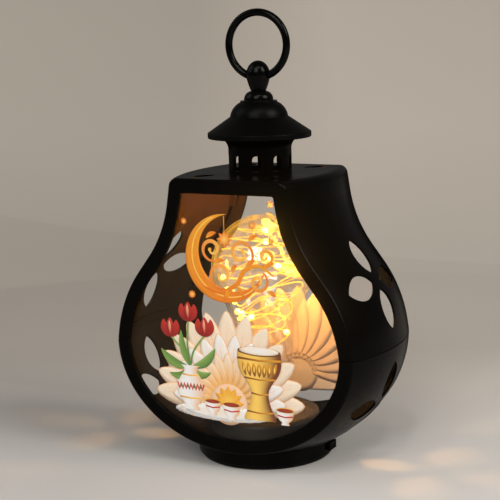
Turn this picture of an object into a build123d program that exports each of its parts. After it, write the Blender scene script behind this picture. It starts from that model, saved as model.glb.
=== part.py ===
from build123d import *
import math
import os

os.makedirs("parts", exist_ok=True)

# A pear-shaped lantern. Front frame towards -Y, ring at the top, origin under the middle of the foot.
# Millimetres and degrees. Each group of values belongs to the piece that its comment names.

# Shared: how far a cut runs past the face that it opens, the gaps that pieces keep from each other,
# and how near an edge lies to the line that it is picked by
cut_over = 2.0
seat_gap = 0.3
slip_gap = 0.1
edge_tolerance = 0.001

# Body: a pear outline at the front and back planes, with a wider one half-way between
shell_depth = 86.2
shell_top = 165.0
seam_height = 70.0
shell_bottom = 10.0
top_half_width = 35.0
belly_half_width = 73.4
side_bulge = 8.6
shell_wall = 1.2
frame_thickness = 2.4
frame_lip = 7.6
frame_top_lip = 8.2
top_edge_radius = 5.0
lip_corner_radius = 1.2
frame_edge_radius = 1.6
lip_edge_radius = 0.5
seam_edge = 0.4
neck_height_share = 0.663
neck_width_share = 0.132
neck_radius_share = 0.74
shoulder_height_share = 0.257
shoulder_width_share = 0.903
shoulder_radius_share = 0.79

# Seam: a tongue on the lower side bands stands up inside the upper ones
tongue_height = 4.0
tongue_root = 2.0
tongue_wall = 1.2
tongue_depth_share = 0.78

# Pierced flowers: four leaves round each centre, the ones that point to front and back longer
petal_length = 22.5
side_petal_length = 26.0
petal_width = 14.5
petal_gap = 4.8
petal_cut = 30.0
upper_flower_share = 0.386
lower_flower_angle = 30.5

# Vents in the flat top
vent_length = 15.5
vent_width = 7.5
vent_reach = 36.0
vent_angle = 53.5

# Panels, held between the frames and short ribs
panel_thickness = 1.6
panel_gap = 0.4
rib_thickness = 1.5
rib_height = 3.0
rib_length = 16.0
rib_height_shares = [0.80, 0.08]
lower_rib_share = 0.30

# Foot and base plate: the land is the floor round the deck, for the screws
foot_land = 7.8
foot_wall = 2.4
foot_lift = 2.0
foot_edge_radius = 0.6
floor_level = 12.0
floor_thickness = 2.2
base_step = 1.5
base_edge_radius = 0.8
base_plug_height = 2.0

# Deck over the battery compartment, with some room round the battery contacts
deck_room = 2.25
deck_top = 24.3
deck_wall = 2.0
deck_edge_radius = 3.0
deck_flange_thickness = 2.0

# Lamp: socket post and bulb
socket_radius = 12.7
socket_height = 20.2
socket_edge_radius = 0.8
socket_bore_radius = 3.0
socket_peg_radius = 8.0
spigot_radius = 9.8
spigot_height = 6.0
bulb_radius = 29.8
bulb_head_room = 25.2
bulb_wall = 1.4
bulb_neck_radius = 17.0
bulb_neck_share = 0.2977
bulb_edge_radius = 4.0

# Wire of lights, wound round inside the bulb
wire_diameter = 0.9
wire_loops = 11
wire_bulb_gap = 2.0
wire_low_share = 1.40
wire_high_share = 0.77
wire_lean = 7.5
wire_drift_share = 0.625
wire_draw = 2.0
led_place_shares = [0.011, 0.129, 0.227, 0.323, 0.417, 0.509, 0.598, 0.660, 0.755, 0.846, 0.937]
led_radius = 1.5
led_length = 4.4

# Leads between the circuit board and the wire
lead_diameter = 1.2
lead_spacing = 2.4

# Chimney
chimney_radius = 18.0
chimney_wall = 1.8
chimney_neck_height = 13.0
chimney_height = 19.5
chimney_cap_radius = 22.5
chimney_collar_depth = 4.0
chimney_collar_wall = 1.8
slot_count = 9
slot_width = 5.2
slot_rise = 1.5
slot_height = 8.8

# Roof
brim_radius = 29.5
brim_height = 3.0
brim_edge_radius = 0.6
roof_wall = 2.2
roof_step_radius = 16.5
roof_step_height = 11.9
roof_top_radius = 10.5
roof_height = 20.0
roof_dome_bow = 0.9
roof_plug_depth = 3.0
roof_plug_wall = 1.6

# Finial: below the egg angle the ball runs down to the waist in one arc
flange_radius = 10.5
flange_thickness = 0.8
dome_radius = 8.3
dome_height = 5.4
waist_radius = 4.2
ball_radius = 6.75
ball_half_height = 8.0
ball_egg_angle = 15.0
ball_center = 15.2
finial_peg_radius = 4.0

# Screw under the roof
finial_screw_radius = 1.2
finial_screw_length = 8.0
finial_screw_head_radius = 5.0
finial_screw_head_height = 1.8

# Carrying ring, hinged on two short pins in the ball
ring_radius = 18.1
ring_wire_diameter = 4.2
pin_diameter = 3.2
pin_length = 3.6
pin_gap = 0.05

# Battery cells and their holder
cell_diameter = 10.5
cell_length = 43.3
cell_tip_diameter = 3.8
cell_tip_length = 1.2
cell_gap = 0.4
holder_wall = 1.4
contact_thickness = 0.4
contact_width = 8.0
contact_height = 8.5

# Battery door
door_thickness = 3.0
door_recess = 0.5
door_margin = 0.4
door_pin_diameter = 1.6
door_pin_length = 3.0
door_tab_length = 7.0
door_tab_width = 9.0
door_screw_radius = 1.1
door_screw_head_radius = 2.2
door_screw_head_height = 1.4
door_ledge_land = 1.5
door_ledge_thickness = 4.0
door_screw_bite = 3.0
door_screw_slack = 0.35

# Base screws
base_screw_radius = 1.2
base_screw_head_radius = 2.2
base_screw_head_height = 1.5
base_screw_bite = 1.4
base_boss_radius = 2.9
base_screw_angle = 45.0
base_screw_count = 4

# Circuit board, hung from two short posts of the deck
board_length = 26.0
board_width = 16.0
board_thickness = 1.2
board_post_radius = 1.6
board_drop = 2.0
board_shift = 7.0

# Slide switch in the side of the foot
switch_length = 15.0
switch_depth = 5.0
switch_height = 5.4
switch_knob_width = 8.0
switch_knob_height = 4.8
switch_knob_depth = 2.0
switch_knob_edge = 0.6
switch_stem_width = 4.0
switch_stem_height = 2.6
switch_stem_grip = 2.0
switch_travel = 4.0

# Places that follow from the values above
half_depth = shell_depth / 2
upper_height = shell_top - seam_height
lower_height = seam_height - shell_bottom
panel_front = half_depth - frame_thickness
panel_back = panel_front - panel_thickness
cell_pitch = cell_diameter + cell_gap
bay_half_length = cell_length / 2 + cell_tip_length + contact_thickness * 2
bay_half_width = cell_pitch * 1.5 + cell_gap
deck_bore = math.hypot(bay_half_length, cell_pitch + contact_width / 2) + deck_room
deck_radius = deck_bore + deck_wall
foot_radius = deck_radius + foot_land
foot_bore = foot_radius - foot_wall
base_radius = foot_radius - base_step
floor_top = floor_level + floor_thickness
deck_underside = deck_top - deck_wall
flange_bottom = floor_level - deck_flange_thickness
base_top = foot_lift + base_plug_height
socket_top = deck_top + socket_height
bulb_center = shell_top - bulb_head_room - bulb_radius
bulb_neck_top = socket_top + (bulb_center - socket_top) * bulb_neck_share
chimney_bore = chimney_radius - chimney_wall
roof_bottom = shell_top + chimney_height
roof_top = roof_bottom + roof_height
ball_height = roof_top + ball_center
door_top = door_recess + door_thickness
cell_axis_height = door_top + seat_gap + cell_diameter / 2
holder_top = cell_axis_height + cell_diameter / 2 + cell_gap + holder_wall
holder_half_length = bay_half_length + holder_wall
holder_half_width = bay_half_width + holder_wall
door_half_length = bay_half_length - door_margin
door_half_width = bay_half_width - door_margin
door_axis_x = door_half_length - door_thickness / 2
door_axis_height = door_recess + door_thickness / 2
door_tab_end = holder_half_length + door_tab_length
door_screw_x = -holder_half_length - door_tab_length / 2
base_screw_circle = foot_bore - seat_gap - slip_gap - base_boss_radius
switch_height_center = base_top + switch_height / 2
switch_face = math.sqrt(foot_bore**2 - (switch_length / 2) ** 2) - seat_gap


def bulge_at(y):
    """How far the outline stands out of the front outline at depth y."""
    return side_bulge * (1 - (y / half_depth) ** 2)


def front_points():
    """The right half of the upper outline before its corners are rounded, from the top down to the seam."""
    spread = belly_half_width - top_half_width
    neck_height = seam_height + upper_height * neck_height_share
    shoulder_height = seam_height + upper_height * shoulder_height_share
    return [
        Vector(top_half_width, shell_top),
        Vector(top_half_width + spread * neck_width_share, neck_height),
        Vector(top_half_width + spread * shoulder_width_share, shoulder_height),
        Vector(belly_half_width, seam_height),
    ]


def moved_line(first, last, grow):
    """The line through two points, moved outwards by grow: one point on it and its direction."""
    direction = (last - first).normalized()
    outwards = Vector(-direction.Y, direction.X)
    return first + outwards * grow, direction


def crossing(line_a, line_b):
    """The point where two lines cross."""
    (point_a, along_a), (point_b, along_b) = line_a, line_b
    gap = point_b - point_a
    turn = along_a.X * along_b.Y - along_a.Y * along_b.X
    reach = (gap.X * along_b.Y - gap.Y * along_b.X) / turn
    return point_a + along_a * reach


def grown_points(grow, top, low):
    """The same half outline with its side moved outwards by grow, between the levels top and low."""
    points = front_points()
    level = Vector(1, 0)
    lines = [(Vector(0, top), level)]
    lines += [moved_line(points[i], points[i + 1], grow) for i in range(len(points) - 1)]
    lines += [(Vector(0, low), level)]
    return [crossing(lines[i], lines[i + 1]) for i in range(len(lines) - 1)]


def upper_face(grow, top, low, corner):
    """The upper outline as a face in the front plane."""
    right = grown_points(grow, top, low)
    left = [Vector(-p.X, p.Y) for p in reversed(right)]
    neck_radius = upper_height * neck_radius_share - grow
    shoulder_radius = upper_height * shoulder_radius_share + grow
    radii = [shoulder_radius, neck_radius, corner]
    path = FilletPolyline(*left, *right, radius=radii + radii[::-1])
    return make_face(path + Line(right[-1], left[0]))


def lower_face(grow, raise_by):
    """The lower outline, half an ellipse with a strip of the height raise_by above the seam."""
    half_width = grown_points(grow, shell_top, seam_height)[-1].X
    depth = lower_height + grow
    middle = (0, seam_height)
    path = EllipticalCenterArc(middle, half_width, depth, start_angle=180, arc_size=90)
    path += EllipticalCenterArc(middle, half_width, depth, start_angle=270, arc_size=90)
    low_right, low_left = (half_width, seam_height), (-half_width, seam_height)
    if raise_by == 0:
        return make_face(path + Line(low_right, low_left))
    high = seam_height + raise_by
    return make_face(path + Polyline(low_right, (half_width, high), (-half_width, high), low_left))


def at_depth(face, y):
    """The face moved to the depth y."""
    return Plane.XZ.offset(-y) * face


def barrel(make, reach, inset):
    """A solid lofted through the outline at the depths -reach, 0 and reach, inset from the outer skin."""
    rim = make(bulge_at(reach) - inset)
    middle = make(side_bulge - inset)
    return loft([at_depth(rim, -reach), at_depth(middle, 0), at_depth(rim, reach)])


def outer_barrel(make):
    """The outer skin, with its front and back outlines rounded and a fine chamfer along the seam."""

    def edges_at(solid, offset):
        return [edge for edge in solid.edges() if abs(offset(edge @ (1 / 2))) < edge_tolerance]

    solid = barrel(make, half_depth, 0)
    seam = edges_at(solid, lambda point: point.Z - seam_height)
    rims = edges_at(solid, lambda point: abs(point.Y) - half_depth)
    solid = fillet([edge for edge in rims if edge not in seam], frame_edge_radius)
    return chamfer(edges_at(solid, lambda point: point.Z - seam_height), seam_edge)


def soften_lips(shell, window):
    """The shell with the window's edges rounded on the outer faces of both frames."""
    lips = []
    for side in (1, -1):
        depth = side * half_depth
        rim = at_depth(window, depth).face().outer_wire()
        for edge in shell.edges():
            middle = edge @ (1 / 2)
            if abs(middle.Y - depth) < edge_tolerance and rim.distance_to(middle) < edge_tolerance:
                lips.append(edge)
    return fillet(lips, lip_edge_radius)


def slab(face, y_from, y_to):
    """The face as a plate between two depths."""
    return extrude(at_depth(face, y_from), amount=y_to - y_from, dir=(0, 1, 0))


def upright(radius, z_from, z_to):
    """A cylinder on the middle axis between two heights."""
    return Pos(0, 0, (z_from + z_to) / 2) * Cylinder(radius, z_to - z_from)


def block(x_range, y_range, z_range):
    """A box between the given limits."""
    size = [high - low for low, high in (x_range, y_range, z_range)]
    middle = [(high + low) / 2 for low, high in (x_range, y_range, z_range)]
    return Pos(*middle) * Box(*size)


def leaf(length, width):
    """A pointed leaf from two arcs, along X."""
    tip_a, tip_b = (-length / 2, 0), (length / 2, 0)
    arcs = ThreePointArc(tip_a, (0, width / 2), tip_b) + ThreePointArc(tip_b, (0, -width / 2), tip_a)
    return make_face(arcs)


def flower(place):
    """Cutter for four leaves round a centre, straight through the wall that the plane lies on."""
    petals = Sketch()
    for turn, length in ((0, side_petal_length), (90, petal_length)):
        petal = Pos(petal_gap + length / 2, 0) * leaf(length, petal_width)
        petals += [Rot(0, 0, turn) * petal, Rot(0, 0, turn + 180) * petal]
    return extrude(place * petals, amount=petal_cut / 2, both=True)


def upper_flower_plane(side):
    """The plane of the upper flower on the side +1 or -1, square to the slope between shoulder and neck."""
    points = grown_points(side_bulge, shell_top, seam_height)
    neck, shoulder = points[1], points[2]
    height = seam_height + upper_height * upper_flower_share
    along = (neck - shoulder).normalized()
    center = shoulder + along * ((height - shoulder.Y) / along.Y)
    return Plane((side * center.X, 0, height), x_dir=(0, 1, 0), z_dir=(side * along.Y, 0, -along.X))


def lower_flower_plane(side):
    """The plane of the lower flower, square to the half-way ellipse."""
    angle = math.radians(lower_flower_angle)
    half_width = grown_points(side_bulge, shell_top, seam_height)[-1].X
    depth = lower_height + side_bulge
    center = (side * half_width * math.cos(angle), 0, seam_height - depth * math.sin(angle))
    outwards = (side * math.cos(angle) / half_width, 0, -math.sin(angle) / depth)
    return Plane(center, x_dir=(0, 1, 0), z_dir=outwards)


def panel_faces(shrink):
    """The panel's upper and lower outlines, kept inside the body by shrink."""
    grow = bulge_at(panel_front) - shell_wall - shrink
    corner = top_edge_radius - shell_wall
    upper = upper_face(grow, shell_top - shell_wall - shrink, seam_height, corner)
    return upper, lower_face(grow, 0)


def panel_ribs(make, heights):
    """Short ribs behind both panels, standing on the side walls at the given heights."""
    first = panel_back - seat_gap
    last = first - rib_thickness
    rim = make(bulge_at(last) - shell_wall / 2)
    inner = make(bulge_at(first) - shell_wall - rib_height)
    reach = belly_half_width + side_bulge
    ring = slab(rim, -first, -last) - slab(inner, -first - cut_over, -last + cut_over)
    ribs = []
    for height in heights:
        window = block((-reach, reach), (-first, -last), (height - rib_length / 2, height + rib_length / 2))
        ribs.append(ring & window)
    front = Part() + ribs
    return front + mirror(front, about=Plane.XZ)


def seam_tongue():
    """The tongue on the side bands of the lower shell, with its root inside the wall."""
    half = half_depth * tongue_depth_share
    limit = belly_half_width + side_bulge

    def cut_band(outer_inset, z_from, z_to):
        def make(grow):
            return upper_face(grow, shell_top, seam_height - tongue_root * 2, top_edge_radius)

        inner_inset = shell_wall + slip_gap + tongue_wall
        band = barrel(make, panel_front, outer_inset) - barrel(make, panel_front, inner_inset)
        keep = block((-limit, limit), (-half, half), (z_from, z_to))
        return band & keep

    tongue = cut_band(shell_wall + slip_gap, seam_height - tongue_root, seam_height + tongue_height)
    root = cut_band(shell_wall / 2, seam_height - tongue_root, seam_height)
    return tongue + root


def make_upper_shell():
    """Upper half of the body with its frames, pierced sides and vented top."""

    def outside(grow):
        return upper_face(grow, shell_top, seam_height, top_edge_radius)

    def inside(grow):
        corner = top_edge_radius - shell_wall
        return upper_face(grow, shell_top - shell_wall, seam_height - cut_over, corner)

    shell = outer_barrel(outside) - barrel(inside, panel_front, shell_wall)
    window = upper_face(-frame_lip, shell_top - frame_top_lip, seam_height - cut_over, lip_corner_radius)
    shell -= slab(window, -half_depth - cut_over, half_depth + cut_over)
    shell = soften_lips(shell, window)
    for side in (1, -1):
        shell -= flower(upper_flower_plane(side))
    cut_low = shell_top - shell_wall - cut_over
    cut_high = shell_top + cut_over
    vent_face = Pos(vent_reach, 0, cut_low) * leaf(vent_length, vent_width)
    vent = extrude(vent_face, cut_high - cut_low)
    for turn in (vent_angle, 180 - vent_angle, 180 + vent_angle, -vent_angle):
        shell -= Rot(0, 0, turn) * vent
    shell -= upright(chimney_bore, cut_low, cut_high)
    heights = [seam_height + upper_height * share for share in rib_height_shares]

    def rib_face(grow):
        return upper_face(grow, shell_top, seam_height, top_edge_radius)

    return shell + panel_ribs(rib_face, heights)


def make_lower_shell():
    """Lower half of the body with its frames, pierced sides, foot skirt and the floor inside the foot."""

    def outside(grow):
        return lower_face(grow, 0)

    def inside(grow):
        return lower_face(grow, cut_over)

    skirt = upright(foot_radius, foot_lift, floor_top)
    shell = outer_barrel(outside) + fillet(skirt.edges().sort_by(Axis.Z)[0], foot_edge_radius)
    shell -= barrel(inside, panel_front, shell_wall) - upright(foot_radius, 0, floor_top)
    pocket = lower_face(bulge_at(panel_front) - shell_wall, cut_over)
    front_pocket = slab(pocket, -panel_front, -panel_back + slip_gap)
    shell -= front_pocket + mirror(front_pocket, about=Plane.XZ)
    window = lower_face(-frame_lip, cut_over)
    opening = slab(window, -half_depth - cut_over, half_depth + cut_over)
    shell -= opening - upright(foot_radius, 0, floor_top)
    shell = soften_lips(shell, window)
    shell -= upright(foot_bore, -cut_over, floor_level)
    shell -= upright(deck_radius + seat_gap, -cut_over, floor_top + cut_over)
    for side in (1, -1):
        shell -= flower(lower_flower_plane(side))
    height = shell_bottom + lower_height * (1 - lower_rib_share)
    shell += panel_ribs(outside, [height])
    shell += seam_tongue()
    pilot = Cylinder(base_screw_radius + slip_gap / 2, base_screw_bite * 2 + slip_gap)
    for x, y in screw_places():
        shell -= Pos(x, y, floor_level) * pilot
    return shell - switch_window()


def make_panel(side):
    """A clear sheet behind the front frame for side -1 and behind the back frame for side 1."""
    upper, lower = panel_faces(panel_gap)
    sheet = slab(upper, panel_back, panel_front) + slab(lower, panel_back, panel_front)
    return sheet if side > 0 else mirror(sheet, about=Plane.XZ)


def make_chimney():
    """Slotted neck with a cove up to the roof and a collar down into the flat top."""
    neck_top = shell_top + chimney_neck_height
    cap_top = shell_top + chimney_height
    collar_low = shell_top - shell_wall - chimney_collar_depth
    collar_out = chimney_bore - slip_gap
    collar_in = collar_out - chimney_collar_wall
    cove_start, cove_end = (chimney_radius, neck_top), (chimney_cap_radius, cap_top)
    low = shell_top + slot_rise
    outline = Polyline(cove_end, (chimney_bore, cap_top), (chimney_bore, low), (collar_in, shell_top))
    outline += Polyline((collar_in, shell_top), (collar_in, collar_low), (collar_out, collar_low))
    outline += Polyline((collar_out, collar_low), (collar_out, shell_top), (chimney_radius, shell_top))
    outline += Line((chimney_radius, shell_top), cove_start)
    outline += TangentArc(cove_start, cove_end, tangent=(0, 1))
    neck = revolve(Plane.XZ * make_face(outline), axis=Axis.Z)
    half = slot_width / 2
    side_run = slot_height - half
    edge = Polyline((-half, side_run), (-half, 0), (half, 0), (half, side_run))
    edge += ThreePointArc((half, side_run), (0, slot_height), (-half, side_run))
    slot_plane = Plane((0, 0, low), x_dir=(1, 0, 0), z_dir=(0, -1, 0))
    slot = extrude(slot_plane * make_face(edge), -chimney_radius - cut_over)
    for i in range(slot_count):
        neck -= Rot(0, 0, i * 360 / slot_count) * slot
    return neck


def roof_profile(shrink, low):
    """The roof's outline from its brim to its top, drawn in by shrink and closed at the level low."""
    step = roof_bottom + roof_step_height - shrink
    top = roof_top - shrink
    brim = roof_bottom + brim_height - shrink
    rim, mid, cap = brim_radius - shrink, roof_step_radius - shrink, roof_top_radius - shrink
    bow = Vector((mid + cap) / 2 + roof_dome_bow, (step + top) / 2 + roof_dome_bow)
    outline = Polyline((0, top), (0, low), (rim, low), (rim, brim), (mid, step))
    outline += ThreePointArc((mid, step), bow, (cap, top))
    outline += Line((cap, top), (0, top))
    return revolve(Plane.XZ * make_face(outline), axis=Axis.Z)


def make_roof():
    """Hollow stepped cap whose plug drops into the chimney's mouth."""
    hollow = roof_profile(roof_wall, roof_bottom + roof_wall)
    hollow &= upright(chimney_bore - slip_gap - roof_plug_wall, 0, roof_top)
    plug_out = chimney_bore - slip_gap
    plug_low = roof_bottom - roof_plug_depth
    cap = roof_profile(0, roof_bottom)
    brim = [edge for edge in cap.edges() if abs((edge @ 0).X) > brim_radius - edge_tolerance]
    cap = fillet([edge for edge in brim if edge.geom_type == GeomType.CIRCLE], brim_edge_radius)
    roof = cap + upright(plug_out, plug_low, roof_bottom + roof_wall)
    roof -= hollow
    roof -= upright(plug_out - roof_plug_wall, plug_low - cut_over, roof_bottom + roof_wall + cut_over)
    peg_hole = upright(finial_peg_radius + slip_gap, roof_top - roof_wall - cut_over, roof_top + cut_over)
    return roof - peg_hole


def make_finial():
    """Flange, dome, waist and egg-shaped ball, with a peg in the roof and bores for the ring's pins."""
    dome_base = flange_thickness
    start, waist = (dome_radius, dome_base), (waist_radius, dome_base + dome_height)
    peg, low = finial_peg_radius, -roof_wall
    outline = Polyline((0, low), (peg, low), (peg, 0), (flange_radius, 0), (flange_radius, dome_base), start)
    outline += ThreePointArc(start, dome_bulge(start, waist), waist)
    middle, turn = (0, ball_center), 90 + ball_egg_angle
    crown = EllipticalCenterArc(middle, ball_radius, ball_half_height, start_angle=-ball_egg_angle, arc_size=turn)
    outline += TangentArc(crown @ 0, waist, tangent=-(crown % 0)) + crown
    outline += Line((0, ball_center + ball_half_height), (0, low))
    finial = Pos(0, 0, roof_top) * revolve(Plane.XZ * make_face(outline), axis=Axis.Z)
    bore = Cylinder(pin_diameter / 2 + pin_gap, pin_length + slip_gap * 2)
    for side in (1, -1):
        middle = side * (ball_radius + slip_gap - pin_length / 2)
        finial -= Pos(middle, 0, ball_height) * Rot(0, 90, 0) * bore
    seat = roof_top - roof_wall
    return finial - upright(finial_screw_radius + slip_gap / 2, seat - cut_over, seat + finial_screw_length)


def dome_bulge(start, end):
    """The middle of the dome's quarter-round flank."""
    turn = math.sqrt(0.5)
    return (end[0] + (start[0] - end[0]) * turn, start[1] + (end[1] - start[1]) * turn)


def make_finial_screw():
    """Screw up through the roof into the finial, its head under the roof's top."""
    seat = roof_top - roof_wall
    shank = upright(finial_screw_radius, seat, seat + finial_screw_length - slip_gap)
    return shank + upright(finial_screw_head_radius, seat - finial_screw_head_height, seat)


def make_ring():
    """Carrying ring, open at the bottom, with a pin from each end into the ball."""
    end_x = ball_radius + seat_gap
    rise = math.sqrt(ring_radius**2 - end_x**2)
    center = ball_height + rise
    wire = Pos(0, 0, center) * Rot(90, 0, 0) * Torus(ring_radius, ring_wire_diameter / 2)
    thick = ring_wire_diameter
    wire -= block((-end_x, end_x), (-thick, thick), (ball_height - thick, center))
    pin = Cylinder(pin_diameter / 2, pin_length)
    overlap = ring_wire_diameter / 4
    for side in (1, -1):
        reach = end_x + overlap - pin_length / 2
        wire += Pos(side * reach, 0, ball_height) * Rot(0, 90, 0) * pin
    return wire


def make_deck():
    """Drum with a rounded top edge, a flange under the floor and two posts for the circuit board."""
    flange_radius_out = foot_bore - seat_gap
    hole_radius = socket_peg_radius + slip_gap
    edge_low = (deck_radius, deck_top - deck_edge_radius)
    edge_high = (deck_radius - deck_edge_radius, deck_top)
    rim_low, rim_high = (flange_radius_out, flange_bottom), (flange_radius_out, floor_level)
    inner_low, inner_high = (deck_bore, flange_bottom), (deck_bore, deck_underside)
    outline = Polyline(inner_low, rim_low, rim_high, (deck_radius, floor_level), edge_low)
    outline += TangentArc(edge_low, edge_high, tangent=(0, 1))
    outline += Polyline(edge_high, (hole_radius, deck_top), (hole_radius, deck_underside))
    outline += Polyline((hole_radius, deck_underside), inner_high, inner_low)
    deck = revolve(Plane.XZ * make_face(outline), axis=Axis.Z)
    for x, y in screw_places():
        deck -= Pos(x, y, floor_level) * Cylinder(base_screw_radius + slip_gap, deck_flange_thickness * 4)
    post = Cylinder(board_post_radius, board_drop + deck_wall / 2)
    for x in board_posts():
        deck += Pos(x, board_shift, deck_underside - (board_drop - deck_wall / 2) / 2) * post
    return deck


def board_posts():
    """The two places of the board's posts along X."""
    return [side * (board_length / 2 - board_post_radius * 2) for side in (1, -1)]


def make_circuit_board():
    """Small board against the ends of the deck's posts."""
    top = deck_underside - board_drop
    return Pos(0, board_shift, top - board_thickness / 2) * Box(board_length, board_width, board_thickness)


def make_lamp_socket():
    """Post on the deck with a peg through it, a spigot in the bulb and a bore for the leads."""
    socket = upright(socket_radius, deck_top, socket_top)
    socket = fillet(socket.edges().sort_by(Axis.Z)[-1], socket_edge_radius)
    socket += upright(socket_peg_radius, deck_underside, deck_top)
    socket += upright(spigot_radius, socket_top, socket_top + spigot_height)
    return socket - upright(socket_bore_radius, 0, socket_top + spigot_height + cut_over)


def bulb_outline(shrink):
    """The radii of globe, neck and cove, drawn in by shrink, and where globe and cove meet."""
    globe, neck = bulb_radius - shrink, bulb_neck_radius - shrink
    rise = bulb_center - bulb_neck_top
    cove = (neck**2 + rise**2 - globe**2) / (2 * (globe - neck))
    reach = globe / (globe + cove)
    return globe, neck, cove, Vector((neck + cove) * reach, bulb_center - rise * reach)


def bulb_half_width(shrink, z):
    """The bulb's radius at the height z, drawn in by shrink."""
    globe, neck, cove, meet = bulb_outline(shrink)
    if z > meet.Y:
        return math.sqrt(globe**2 - (z - bulb_center) ** 2)
    return neck + cove - math.sqrt(cove**2 - max(z - bulb_neck_top, 0) ** 2)


def bulb_face(shrink, low):
    """Half section of the bulb's outside, or of its hollow when drawn in, closed at the level low."""
    globe, neck, cove, meet = bulb_outline(shrink)
    edge = bulb_edge_radius - shrink
    corner = TangentArc((neck - edge, low), (neck, low + edge), tangent=(1, 0))
    flank = TangentArc((neck, bulb_neck_top), meet, tangent=(0, 1))
    crown = TangentArc(meet, (0, bulb_center + globe), tangent=flank % 1)
    outline = Line((0, low), (neck - edge, low)) + corner + Line((neck, low + edge), (neck, bulb_neck_top))
    outline += flank + crown + Line((0, bulb_center + globe), (0, low))
    return Plane.XZ * make_face(outline)


def make_bulb():
    """Clear hollow bulb, neck down, with a hole for the socket's spigot."""
    outside = revolve(bulb_face(0, socket_top), axis=Axis.Z)
    hollow = revolve(bulb_face(bulb_wall, socket_top + bulb_wall), axis=Axis.Z)
    bulb = outside - hollow
    return bulb - upright(spigot_radius + slip_gap, socket_top - cut_over, socket_top + spigot_height)


def wire_point(turns):
    """A point of the winding after a number of turns, and the way the wire runs there."""
    low = bulb_center - bulb_radius * wire_low_share
    high = bulb_center + bulb_radius * wire_high_share

    def place(t):
        share = t / wire_loops
        angle = 2 * math.pi * t
        # the loops lean, most of all half-way up, and every other loop draws in a little
        drift = 2 * math.pi * wire_drift_share * share
        lean = wire_lean * math.sin(angle + drift) * 4 * share * (1 - share)
        z = low + (high - low) * share + lean
        radius = bulb_half_width(bulb_wall + wire_bulb_gap, z)
        radius -= wire_draw * (1 - math.cos(math.pi * t)) / 2
        return Vector(radius * math.cos(angle), radius * math.sin(angle), z)

    step = 1 / 4096
    ahead, behind = place(turns + step), place(turns - step)
    return place(turns), (ahead - behind).normalized()


def biarc(start, run_in, end, run_out):
    """Two arcs that join two points and follow the given directions at both."""
    gap = end - start
    both = gap.dot(run_in + run_out)
    spread = 2 * (1 - run_in.dot(run_out))
    reach = (-both + math.sqrt(both**2 + spread * gap.dot(gap))) / spread
    meet = (start + end + (run_in - run_out) * reach) / 2
    run_mid = ((end - run_out * reach) - (start + run_in * reach)).normalized()
    return [TangentArc(start, meet, tangent=run_in), TangentArc(meet, end, tangent=run_mid)]


def wire_path():
    """The edges of the winding in quarter turns, from the spigot up through all the loops."""
    foot = Vector(0, 0, socket_top + spigot_height)
    rise_end = foot + Vector(0, 0, wire_diameter * 2)
    first, first_run = wire_point(0)
    edges = [Line(foot, rise_end)]
    edges += biarc(rise_end, Vector(0, 0, 1), first, first_run)
    quarters = wire_loops * 4
    for i in range(quarters):
        here, run_here = wire_point(i / 4)
        there, run_there = wire_point((i + 1) / 4)
        edges += biarc(here, run_here, there, run_there)
    last, last_run = wire_point(wire_loops)
    edges.append(Line(last, last + last_run * wire_diameter))
    return edges


def make_light_wire():
    """The fine wire as one unbroken tube."""
    path = Wire(wire_path())
    ring = Plane(path @ 0, z_dir=path % 0) * Circle(wire_diameter / 2)
    return sweep(ring, path=path)


def wire_clearance():
    """The least gap between two loops of the winding, measured on points along it."""
    steps = 96
    points = [wire_point(i / steps)[0] for i in range(wire_loops * steps + 1)]
    least = bulb_radius
    for i in range(0, len(points), 2):
        for j in range(i + steps // 3, len(points), 2):
            least = min(least, (points[i] - points[j]).length)
    return least - wire_diameter


def make_led_beads():
    """Small rounded lights along the wire, about a turn apart."""
    beads = []
    for share in led_place_shares:
        place, run = wire_point(share * wire_loops)
        body = Cylinder(led_radius, led_length - led_radius * 2)
        for side in (1, -1):
            body += Pos(0, 0, side * (led_length / 2 - led_radius)) * Sphere(led_radius)
        beads.append(Plane(place, z_dir=run) * body)
    return Compound(children=[bead.solid() for bead in beads])


def make_lamp_leads():
    """Two leads from the circuit board up through the socket to the wire."""
    top = socket_top + spigot_height - seat_gap
    low = deck_underside - board_drop
    lead = upright(lead_diameter / 2, low, top)
    leads = [Pos(side * lead_spacing / 2, 0, 0) * lead for side in (1, -1)]
    return Compound(children=[lead.solid() for lead in leads])


def screw_places():
    """The places of the base screws round the axis."""
    turns = [math.radians(base_screw_angle + i * 360 / base_screw_count) for i in range(base_screw_count)]
    return [(base_screw_circle * math.cos(t), base_screw_circle * math.sin(t)) for t in turns]


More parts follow.
